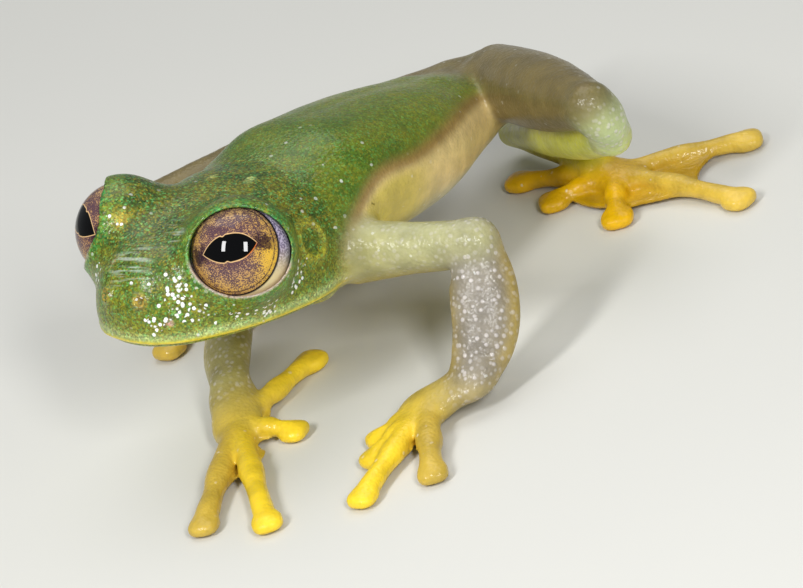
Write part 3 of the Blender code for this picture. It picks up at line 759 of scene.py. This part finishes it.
# Where the face's wet granules catch the lamps: each patch's place, size and share of cells that get a
# raised drop painted with a white glint
WET_GLINT_PATCHES = (
    ((1.80, -2.45, -0.75), 0.40, 1.1), ((2.02, -2.45, -1.40), 0.46, 1.25),
    ((1.20, -3.09, -1.97), 0.34, 1.1), ((2.45, -2.02, -1.77), 0.45, 0.5),
    ((2.85, -1.32, -1.67), 0.45, 0.45), ((3.18, -0.64, -1.90), 0.42, 0.6),
    ((3.50, 0.20, -1.91), 0.42, 0.6), ((3.75, 1.75, -1.00), 0.42, 0.6),
    ((3.70, 1.30, -1.50), 0.42, 0.35), ((1.75, -2.35, -0.45), 0.40, 0.4),
    ((1.75, -2.75, -1.60), 0.50, 0.25), ((0.73, -2.98, -1.26), 0.30, 0.5),
    ((-1.50, -1.52, 1.08), 0.34, 0.55), ((0.30, -2.70, -0.40), 0.60, 0.14),
    ((-1.91, -2.40, -0.81), 0.38, 0.6), ((-2.30, -2.10, -1.50), 0.5, 0.4),
    ((-3.50, 0.20, -1.91), 0.50, 0.4),
)
# Patches of wet film on the snout, place and size: the coat is glossier there, and pale streaks of
# painted sheen lie over the colour
FILM_AND_PAINTED_SHEEN = (((-0.10, -2.62, -0.12), 0.85), ((0.35, -2.80, -0.65), 0.45), ((0.75, -1.05, 0.62), 0.70))
ARMPIT = np.array((4.0, -3.9, 4.9))
ARMPIT_SIZE = 1.3


def linear(hex_colour):
    """An sRGB hex colour as linear red, green and blue."""
    out = []
    for i in (1, 3, 5):
        c = int(hex_colour[i:i + 2], 16) / 255
        out.append(c / 12.92 if c <= 0.04045 else ((c + 0.055) / 1.055) ** 2.4)
    return np.array(out)


def painted(colour, name, share):
    """Rows of colours with a named tint or a hex colour laid over each by its share."""
    return colour + (linear(BODY_TINTS.get(name, name)) - colour) * share[:, None]


def spot_share(points, place, size):
    """1 in a round spot and 0 outside it: e to less the fourth power of the steps away."""
    return np.exp(-(np.linalg.norm(points - place, axis=1) / size) ** 4)


def body_colours(points):
    """Colours of the head and trunk by height on the section and place along the body.

    Also gives how much of the green's fine speckle each point has.
    """
    _, v, _, above, below = body_section(points, along_body(points))
    height = np.where(v > 0, v / above, v / below)
    y = points[:, 1]
    local = to_head(points)
    line = mouth_line(local)
    ear, beside = ear_reach(local)
    trunk = soft_step(3.2, 5.0, local[:, 1])
    head = painted(linear(BODY_TINTS["crown"]), "face", soft_step(0.6, -1.0, local[:, 2]))
    head = painted(head, "above lip", 0.8 * soft_step(1.0, 0.2, line) * soft_step(-0.2, 0.1, line))
    head = painted(head, "lip band", 0.85 * hump(line, 0.33, 0.15))
    head = painted(head, "lip line", hump(line, 0.10, 0.09))
    head = painted(head, "jaw", soft_step(-0.02, -0.16, line))
    for place, size, colour in HEAD_SPOTS:
        head = painted(head, colour, spot_share(local, place, size))
    head = painted(head, "ear ring", 0.85 * hump(ear, 0.60, 0.15) * beside)
    head = painted(head, "eardrum", 0.8 * soft_step(0.45, 0.3, ear) * beside)
    rise = 0.16 + 0.30 * soft_step(-1.0, 5.0, y)
    rump = soft_step(5.6, 7.6, y + 0.5 * height)
    side = painted(linear(BODY_TINTS["back"]), "rump green", soft_step(-4.0, 4.0, y))
    side = painted(side, "flank edge", soft_step(rise + 0.26, rise + 0.02, height))
    side = painted(side, "flank", soft_step(rise + 0.06, rise - 0.16, height))
    side = painted(side, "belly", soft_step(-0.35, -0.75, height))
    side = painted(side, "armpit", 0.8 * soft_step(0.8, -1.6, y) * soft_step(rise, rise - 0.2, height))
    side = painted(side, "rump", rump * (0.15 + 0.85 * soft_step(-0.6, 0.0, height)))
    green = 1 - soft_step(rise + 0.35, rise + 0.05, height) * trunk
    green *= (1 - 0.7 * rump) * (1 - 0.45 * trunk)
    green *= 1 - 0.9 * hump(line, 0.12, 0.13) * (1 - trunk)
    return head + (side - head) * trunk[:, None], green


def lid_colours(points, colour, green):
    """Margins of the lids: bright green above, pinkish white below, close to the eyeball."""
    for side in SIDES:
        reach, height, level = lid_reach(points, side)
        far = np.linalg.norm(points - in_head(EYE_PLACE[side]), axis=1)
        near = soft_step(2.3, 2.15, far) * soft_step(LID_BACK - 0.1, LID_BACK + 0.1, height)
        margin = soft_step(1.08, 1.02, reach) * near
        colour = painted(colour, "lid", 0.6 * soft_step(1.26, 1.10, reach) * near)
        colour = painted(colour, "upper margin", margin * soft_step(-0.3, 0.1, level))
        colour = painted(colour, "lower margin", margin * soft_step(-0.1, -0.4, level))
        green = green * (1 - 0.85 * margin * soft_step(0.0, -0.3, level))
    return colour, green


def skin_colours(points):
    """The tint at each point, each form's share in it, and the green's speckle.

    A share falls off with how much farther away the form is than the nearest one.
    """
    distances = {name: np.full(len(points), FAR_AWAY) for name in ("body", *TINTS)}
    for distance, low, high, _, kind, tint in forms:
        if kind == "add":
            held = distances[tint]
            near = np.flatnonzero(((points > low) & (points < high)).all(1))
            held[near] = np.minimum(held[near], distance(points[near]))
    nearest = np.minimum.reduce(list(distances.values()))
    shares = {name: np.exp((nearest - far) / TINT_BLEND) for name, far in distances.items()}
    total = sum(shares.values())
    shares = {name: share / total for name, share in shares.items()}
    body, green = lid_colours(points, *body_colours(points))
    colour = shares["body"][:, None] * body
    for name, tint in TINTS.items():
        colour += shares[name][:, None] * linear(tint)
    for sign in SIDES.values():
        near = spot_share(points, ARMPIT * (sign, 1, 1), ARMPIT_SIZE)
        colour = painted(colour, "armpit fold", 0.75 * near * soft_step(5.9, 5.3, points[:, 2]))
    return colour, shares, green


def add_attribute(mesh, name, values):
    """A colour for each vertex of a mesh, from rows of three numbers."""
    layer = mesh.attributes.new(name, "FLOAT_COLOR", "POINT")
    rgba = np.ones((len(values), 4), np.float32)
    rgba[:, :3] = values
    layer.data.foreach_set("color", rgba.ravel())


tints, shares, green = skin_colours(points)
local = to_head(points)
wet_glints = np.max([amount * spot_share(local, place, size) for place, size, amount in WET_GLINT_PATCHES], 0)
film = np.max([spot_share(local, place, size) for place, size in FILM_AND_PAINTED_SHEEN], 0)
# pale granules: on the arms partly pigment and partly painted glints, on the knees and shanks painted
# glare
granules_and_glints = shares["forearm"] + 0.7 * shares["inner_forearm_painted_lighter"] + 0.3 * shares["upper_arm"]
granules_and_glints += 0.2 * shares["shank"] + shares["knee_glare"]
add_attribute(skin.data, "tint", tints)
add_attribute(skin.data, "kind", np.stack([shares["body"] * green, granules_and_glints, wet_glints], 1))
add_attribute(skin.data, "film", np.stack([film * shares["body"]] * 3, 1))


# The skin's surface.  Living frog skin, moist and finely granular, which gives the eye a soft
# sheen over a dense stipple.  Pigment specks of 0.02 mm are drawn 0.06 mm wide and the
# grain 0.13 mm, so that they show; granules and drops of 0.15 to 0.2 mm are true to size.
# The drops' white dots are painted glints, the pale granules are in part painted glints and
# glare, and the snout's pale streaks are painted sheen.
SPECKS_PER_MM = 16.5
GRAIN_PER_MM = 7.5
MOTTLE_PER_MM = 6.5
BLOTCHES_PER_MM = 1.1
GRANULES_PER_MM = 4.6
GLINT_DROPS_PER_MM = 6.2
STREAKS_PER_MM = 8.0
STREAK_TURN = tuple(math.radians(degrees) for degrees in (62.56914, 17.90295, 33.93464))
STREAK_STRETCH = (9.0, 1.0, 9.0)
# kinds of nodes with their settings; a smooth rise goes from 0 to 1 where it isn't said
SMOOTH = ("MapRange", {"interpolation_type": "SMOOTHSTEP"})
LAID_OVER = ("Mix", {"data_type": "RGBA"})
TIMES = ("Math", {"operation": "MULTIPLY"})
PLUS = ("Math", {"operation": "ADD"})
LESS = ("Math", {"operation": "SUBTRACT"})
GREATER = ("Math", {"operation": "MAXIMUM"})
SIZE_OF = ("Math", {"operation": "ABSOLUTE"})


def node(kind, *values, **named):
    """Adds a node to the tree in hand, with its settings, and joins or fills its inputs.

    Values go to the inputs in use, in order, and named ones to the input of that name.  A
    value is a number, a vector, a hex colour, an output, or a node for its first output.
    """
    kind, settings = kind if isinstance(kind, tuple) else (kind, {})
    made = tree.nodes.new("ShaderNode" + kind)
    for key, value in settings.items():
        setattr(made, key, value)
    pairs = list(zip([socket for socket in made.inputs if socket.enabled], values))
    pairs += [(made.inputs[name.replace("_", " ")], value) for name, value in named.items()]
    for socket, value in pairs:
        if isinstance(value, bpy.types.Node):
            value = next(output for output in value.outputs if output.enabled)
        if isinstance(value, bpy.types.NodeSocket):
            tree.links.new(value, socket)
        elif isinstance(value, str):
            socket.default_value = (*linear(value), 1.0)
        else:
            socket.default_value = value
    return made


place = node("TexCoord").outputs["Object"]
tint = node(("Attribute", {"attribute_name": "tint"}))
kind = node(("Attribute", {"attribute_name": "kind"}))
speckled, granular_and_glinting, wet_glints = node("SeparateColor", kind).outputs
film = node(("Attribute", {"attribute_name": "film"})).outputs["Fac"]
specks = node("TexVoronoi", place, SPECKS_PER_MM / MM)
red, green, blue = node("SeparateColor", specks.outputs["Color"]).outputs
mottle = node("TexNoise", place, MOTTLE_PER_MM / MM, 4.0)
blotches = node("TexNoise", place, BLOTCHES_PER_MM / MM, 4.0)

# olive blotches, then single ochre and blue-green specks, then light and dark ones
zone = node(SMOOTH, blotches, 0.40, 0.62)
olive = node(TIMES, node(TIMES, speckled, zone), 0.45)
colour = node(LAID_OVER, olive, tint, "#7f7a16")
half = node(TIMES, speckled, 0.5)
ochre = node(TIMES, node(SMOOTH, blue, 0.70, 0.78), half)
colour = node(LAID_OVER, ochre, colour, "#8f7a1c")
cyan = node(TIMES, node(SMOOTH, green, 0.78, 0.86), half)
colour = node(LAID_OVER, cyan, colour, "#58a45a")
fine_light = node(SMOOTH, mottle, 0.3, 0.7, 0.75, 1.25)
speck_light = node(SMOOTH, red, 0.0, 1.0, 0.58, 1.42)
stippled = node(TIMES, speck_light, fine_light)
plain = node(SMOOTH, blotches, 0.3, 0.7, 0.86, 1.14)
light = node(("Mix", {"data_type": "FLOAT"}), speckled, plain, stippled)
colour = node(("VectorMath", {"operation": "SCALE"}), colour, light)

# pale granules: on the arms partly pigment and partly painted glints, on the knees and shanks
# a painted glare; then white drops on the face
beads = node("TexVoronoi", place, GRANULES_PER_MM / MM)
_, luck, _ = node("SeparateColor", beads.outputs["Color"]).outputs
granule_and_glint = node(TIMES, node(SMOOTH, beads, 0.22, 0.50, 1.0, 0.0),
               node(SMOOTH, luck, 0.1, 0.8, 0.25, 1.0))
granule_and_glint = node(TIMES, granule_and_glint, granular_and_glinting)
colour = node(LAID_OVER, node(TIMES, granule_and_glint, 0.75), colour, "#d9d2cf")
# white drops: painted glints of the lamps on wet granules, each also raised in the bump
glint_cells = node("TexVoronoi", place, GLINT_DROPS_PER_MM / MM)
luck, _, _ = node("SeparateColor", glint_cells.outputs["Color"]).outputs
chosen = node(SMOOTH, node(PLUS, luck, wet_glints), 0.98, 1.02)
drop_and_glint = node(TIMES, node(SMOOTH, glint_cells, 0.36, 0.52, 1.0, 0.0), chosen)
colour = node(LAID_OVER, node(TIMES, drop_and_glint, 0.95), colour, "#fbfcf8")

# the wet film on the snout: level streaks of painted sheen laid pale over the colour, where
# the coat is glossier as well
level_place = node(("Mapping", {"vector_type": "TEXTURE"}), Vector=place,
                   Rotation=STREAK_TURN, Scale=STREAK_STRETCH)
streaks = node("TexNoise", level_place, STREAKS_PER_MM / MM, 3.0)
streak = node(TIMES, node(SMOOTH, streaks, 0.46, 0.64), film)
colour = node(LAID_OVER, node(TIMES, streak, 0.55), colour, "#c3cfc0")

grain = node(("TexVoronoi", {"feature": "SMOOTH_F1"}), place, GRAIN_PER_MM / MM, Smoothness=0.6)
bead = node(GREATER, drop_and_glint, granule_and_glint)
relief = node(("Math", {"operation": "MULTIPLY_ADD"}), grain, -0.7, mottle)
relief = node(PLUS, relief, node(TIMES, bead, 1.2))
bump = node("Bump", Height=relief, Strength=0.6, Distance=0.04 * MM)
shader = node("BsdfPrincipled", Base_Color=colour, Normal=bump, Coat_Normal=bump,
              Roughness=node(SMOOTH, mottle, 0.3, 0.7, 0.34, 0.50),
              Coat_Weight=node(SMOOTH, streak, 0.0, 1.0, 0.32, 1.0),
              Coat_Roughness=0.10, Specular_IOR_Level=0.3, Subsurface_Weight=0.10,
              Subsurface_Radius=(1.0, 0.8, 0.35), Subsurface_Scale=0.3 * MM)
node("OutputMaterial", shader)
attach(skin, "root")
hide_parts("head", "lower_jaw", "torso",
            *(f"{name}_{side}" for side in SIDES for name in (
                "tympanum", "upper_arm", "forearm", "hand", "thigh", "shank", "tarsus", "foot")))


# Eyeballs.  Each is a wet ball in its socket: a clear cornea that gives two sharp glints,
# over a gold iris stippled in purple brown and a level pointed pupil, with lilac and white
# round it.  A turned ball, whose points carry their place on the iris in millimetres.  The
# iris's pigment dots of about 0.02 mm are drawn 0.045 mm wide, so that they show.
EYE_LOOKS = {"left": (0.420, -0.824, 0.380), "right": (-0.420, -0.824, 0.380)}
IRIS_RADIUS = 1.53
PUPIL_TILT = math.radians(12.5)
PUPIL_HALF_WIDTH = 0.95
PUPIL_HALF_HEIGHT = 0.47
STIPPLE_PER_MM = 22.0
LILAC_DOTS_PER_MM = 13.0
RAGGED_PER_MM = 6.0
CRACKS_PER_MM = 2.6
CLOUDS_PER_MM = 2.2
eye_material, tree = new_material("wet_eye")


def eyeball(side, sign):
    """A ball round the eye's axis: rings at angles from it, closer together near the front.

    Across the axis, a point is at the sine of its ring's angle times the cosine and sine of
    its own turn, and along it at the cosine.  Both ends are closed by a point.
    """
    centre, across, rise, axis = eye_frame(side, EYE_LOOKS)
    rings, segments = ((170, 192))
    angles = np.pi * (np.arange(1, rings) / rings) ** 1.25
    around = np.arange(segments) / segments * 2 * np.pi
    a, b = np.meshgrid(angles, around, indexing="ij")
    x = np.append((np.sin(a) * np.cos(b)).ravel(), (0, 0)) * EYE_RADIUS
    y = np.append((np.sin(a) * np.sin(b)).ravel(), (0, 0)) * EYE_RADIUS
    z = np.append(np.cos(a).ravel(), (1, -1)) * EYE_RADIUS
    spots = centre + np.outer(x, across) + np.outer(y, rise) + np.outer(z, axis)
    grid = np.arange((rings - 1) * segments).reshape(rings - 1, segments)
    turned = np.roll(grid, -1, axis=1)
    quads = np.stack([grid[:-1], grid[1:], turned[1:], turned[:-1]], -1).reshape(-1, 4)
    first, last = len(x) - 2, len(x) - 1
    tris = np.concatenate([
        quads[:, [0, 1, 2]], quads[:, [0, 2, 3]],
        np.stack([np.full(segments, first), grid[0], turned[0]], 1),
        np.stack([np.full(segments, last), turned[-1], grid[-1]], 1)])
    ball = add_mesh("eyeball_" + side, spots, tris, eye_material)
    add_attribute(ball.data, "iris", np.stack([x * sign, y, z], 1))
    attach(ball, "root")
    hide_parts("eye_" + side)


iris = node(("Attribute", {"attribute_name": "iris"})).outputs["Vector"]
turned = node(("VectorRotate", {"rotation_type": "Z_AXIS"}), Vector=iris, Angle=-PUPIL_TILT)
x, y, z = node("SeparateXYZ", turned).outputs
flat_place = node("CombineXYZ", x, y)
radius = node(("VectorMath", {"operation": "LENGTH"}), flat_place)
stipple = node("TexNoise", iris, STIPPLE_PER_MM, 2.0, 0.6)
clouds = node("TexNoise", iris, CLOUDS_PER_MM, 3.0, Distortion=0.6)
ragged = node("TexNoise", iris, RAGGED_PER_MM, 3.0)
warped = node(("VectorMath", {"operation": "MULTIPLY_ADD"}), ragged.outputs["Color"],
              (0.22, 0.22, 0.0), flat_place)
cracks = node(("TexVoronoi", {"feature": "DISTANCE_TO_EDGE"}), warped, CRACKS_PER_MM)
upward = node(SIZE_OF, y)
along = node(SIZE_OF, node(("Math", {"operation": "DIVIDE"}), x, PUPIL_HALF_WIDTH))

# gold, brighter towards the cheek, under a stipple and fine cracks of purple brown
cloud = node(SMOOTH, clouds, 0.35, 0.65, -0.05, 0.06)
middle = node(SMOOTH, radius, 0.75, 1.45, 0.03, -0.05)
bright_side = node(TIMES, node(SMOOTH, x, 0.5, 1.3), node(SMOOTH, y, 0.5, -0.5))
density = node(PLUS, node(PLUS, cloud, middle), node(TIMES, bright_side, -0.10))
dark = node(SMOOTH, node(PLUS, stipple, density), 0.43, 0.49)
crack = node(TIMES, node(SMOOTH, cracks, 0.012, 0.05, 1.0, 0.0),
             node(SMOOTH, y, -0.2, 0.5, 0.15, 0.9))
outer = node(SMOOTH, radius, 0.8, 1.4)
gold = node(LAID_OVER, outer, "#b58c5e", "#cba052")
gold = node(LAID_OVER, bright_side, gold, "#e2b43a")
top = node(SMOOTH, y, 0.6, 1.2, 0.0, 0.5)
gold = node(LAID_OVER, top, gold, "#b99a78")
dark = node(TIMES, node(GREATER, dark, crack), 0.88)
colour = node(LAID_OVER, dark, gold, "#402a44")

# the dark bar at the pupil's two corners
wander = node(SMOOTH, ragged, 0.3, 0.7, -0.15, 0.15)
bar = node(SMOOTH, node(PLUS, upward, wander), 0.14, 0.42, 1.0, 0.0)
corner = node(TIMES, node(SMOOTH, along, 0.72, 1.05), bar)
corner = node(TIMES, corner, node(SMOOTH, radius, 1.28, 1.42, 1.0, 0.25))
colour = node(LAID_OVER, node(TIMES, corner, 0.88), colour, "#2a1622")

# the pupil: its half height falls with a power of the way along, less a small notch; its
# rim is cream, and orange below at the hind corner
power = node(SMOOTH, x, -0.3, 0.5, 2.2, 3.0)
taper = node(LESS, 1.0, node(("Math", {"operation": "POWER"}), along, power))
from_notch = node(SIZE_OF, node(PLUS, x, 0.12))
notch = node(SMOOTH, from_notch, 0.0, 0.12, 0.05, 0.0)
half_height = node(LESS, node(TIMES, taper, PUPIL_HALF_HEIGHT), notch)
edge = node(TIMES, node(LESS, upward, half_height), 0.85)
hind = node(TIMES, node(SMOOTH, x, 0.3, 0.8), node(SMOOTH, y, 0.1, -0.1))
rim = node(SMOOTH, edge, 0.012, 0.042, 1.0, 0.0)
rim_colour = node(LAID_OVER, hind, "#e6bd86", "#d9722c")
colour = node(LAID_OVER, rim, colour, rim_colour)
pupil = node(SMOOTH, edge, -0.012, 0.012, 1.0, 0.0)
colour = node(LAID_OVER, pupil, colour, "#020203")

# a broken dark ring near the iris's edge, its black edge, then the lilac and the white
from_ring = node(SIZE_OF, node(LESS, radius, IRIS_RADIUS - 0.10))
ring = node(TIMES, node(SMOOTH, from_ring, 0.006, 0.026, 1.0, 0.0),
            node(SMOOTH, ragged, 0.35, 0.55, 0.25, 0.9))
colour = node(LAID_OVER, ring, colour, "#2c1a26")
black = node(SMOOTH, radius, IRIS_RADIUS - 0.035, IRIS_RADIUS - 0.005)
colour = node(LAID_OVER, black, colour, "#120d16")
dots = node(SMOOTH, node("TexNoise", iris, LILAC_DOTS_PER_MM, 2.0), 0.44, 0.56)
lilac = node(LAID_OVER, node(TIMES, dots, 0.8), "#c9bcd6", "#54406e")
white = node(LAID_OVER, node(SMOOTH, y, -1.2, -0.1), "#e3d3a4", lilac)
outside = node(SMOOTH, radius, IRIS_RADIUS + 0.01, IRIS_RADIUS + 0.05)
colour = node(LAID_OVER, outside, colour, white)
behind = node(("Math", {"operation": "GREATER_THAN"}), 0.0, z)
colour = node(LAID_OVER, behind, colour, "#b3a3c4")
shader = node("BsdfPrincipled", Base_Color=colour, Roughness=0.5,
              Specular_IOR_Level=0.0, Coat_Weight=1.0, Coat_Roughness=0.02, Coat_IOR=1.38)
node("OutputMaterial", shader)
for side, sign in SIDES.items():
    eyeball(side, sign)


# Floor.  A plain pale studio floor of matt paint, which gives soft shadows and no glare, with
# a faint unevenness of tone every 17 mm or so.
FLOOR_HALF = 1500.0
FLOOR_COLOUR = "#d9d8d2"
TONES_PER_MM = 0.06
floor_material, tree = new_material("matt_paint")
grain = node("TexNoise", node("TexCoord").outputs["Object"], TONES_PER_MM / MM, 3.0)
tone = node("MapRange", grain, To_Min=0.97, To_Max=1.0)
shade = node(("VectorMath", {"operation": "SCALE"}), tuple(linear(FLOOR_COLOUR)), tone)
node("OutputMaterial", node("BsdfPrincipled", Base_Color=shade, Roughness=0.8))
corners = np.array([(-1, -1, 0), (1, -1, 0), (1, 1, 0), (-1, 1, 0)], float) * FLOOR_HALF
floor = add_mesh("floor", corners - TO_MODEL * (1, 1, 0), np.array([[0, 1, 2, 3]]), floor_material)


# Camera.  It stands at the frog's front left and above it, rolled as the photo is.
CAMERA_PLACE = np.array((98.9, -105.6, 70.45))
CAMERA_AZIMUTH = math.radians(43)
CAMERA_ELEVATION = math.radians(26)
CAMERA_ROLL = math.radians(20)
SENSOR_WIDTH = 36.0
PIXELS_PER_MM = 29.3
SUBJECT_DISTANCE = 150
PICTURE_WIDTH = 803
level = np.array((math.cos(CAMERA_AZIMUTH), math.sin(CAMERA_AZIMUTH), 0.0))
camera_back = np.array((
    math.sin(CAMERA_AZIMUTH) * math.cos(CAMERA_ELEVATION),
    -math.cos(CAMERA_AZIMUTH) * math.cos(CAMERA_ELEVATION),
    math.sin(CAMERA_ELEVATION),
))
upright = np.cross(camera_back, level)
camera_right = level * math.cos(CAMERA_ROLL) - upright * math.sin(CAMERA_ROLL)
camera_up = level * math.sin(CAMERA_ROLL) + upright * math.cos(CAMERA_ROLL)


def placed(place, right, up, back):
    """A matrix that stands something at a place in millimetres, along three directions."""
    turn = Matrix(np.stack([right, up, back], 1).tolist()).to_4x4()
    return Matrix.Translation(Vector((place + TO_MODEL) * MM)) @ turn


camera = bpy.data.objects.new("camera", bpy.data.cameras.new("camera"))
camera.data.sensor_width = SENSOR_WIDTH
camera.data.lens = PIXELS_PER_MM * SUBJECT_DISTANCE / PICTURE_WIDTH * SENSOR_WIDTH
camera.data.clip_start = 0.005
camera.data.clip_end = 5.0
camera.matrix_world = placed(CAMERA_PLACE, camera_right, camera_up, camera_back)
bpy.context.scene.collection.objects.link(camera)
bpy.context.scene.camera = camera


# Studio light.  Two small upright boxes on either side of the camera, which give the eye its
# two catchlights, a broad soft box above and behind, and a pale room all round.
FLASH_SWINGS = (-38.0, 11.5)
FLASH_RISE = 0.20
FLASH_DISTANCE = 150.0
FLASH_SIZE = (22, 56)
FLASH_POWER = 0.13
SOFT_BOX_WAY = np.array((-0.25, 0.35, 1.0))
SOFT_BOX_DISTANCE = 260
SOFT_BOX_SIZE = (220, 220)
SOFT_BOX_POWER = 0.26
ROOM_COLOUR = "#e6ebee"
ROOM_STRENGTH = 0.27
FOCUS = np.array((2.5, -6.0, 5.0))


def add_light(name, place, size, power, hint):
    """A rectangular light at a place in millimetres, aimed at the frog's chest."""
    data = bpy.data.lights.new(name, "AREA")
    data.shape = "RECTANGLE"
    data.size = size[0] * MM
    data.size_y = size[1] * MM
    data.energy = power
    back = unit(place - FOCUS)
    side = unit(np.cross(hint, back))
    light = bpy.data.objects.new(name, data)
    light.matrix_world = placed(place, side, np.cross(back, side), back)
    bpy.context.scene.collection.objects.link(light)


for number, degrees in enumerate(FLASH_SWINGS):
    swing = math.radians(degrees)
    way = camera_back * math.cos(swing) + camera_right * math.sin(swing) + camera_up * FLASH_RISE
    add_light(f"flash_{number}", FOCUS + way * FLASH_DISTANCE, FLASH_SIZE, FLASH_POWER, camera_up)
add_light("soft_box", FOCUS + unit(SOFT_BOX_WAY) * SOFT_BOX_DISTANCE, SOFT_BOX_SIZE,
          SOFT_BOX_POWER, np.array((0.0, 1.0, 0.0)))
world = bpy.data.worlds.new("studio")
world.use_nodes = True
background = world.node_tree.nodes["Background"]
background.inputs["Color"].default_value = (*linear(ROOM_COLOUR), 1.0)
background.inputs["Strength"].default_value = ROOM_STRENGTH
bpy.context.scene.world = world
bpy.context.scene.view_settings.view_transform = "Standard"
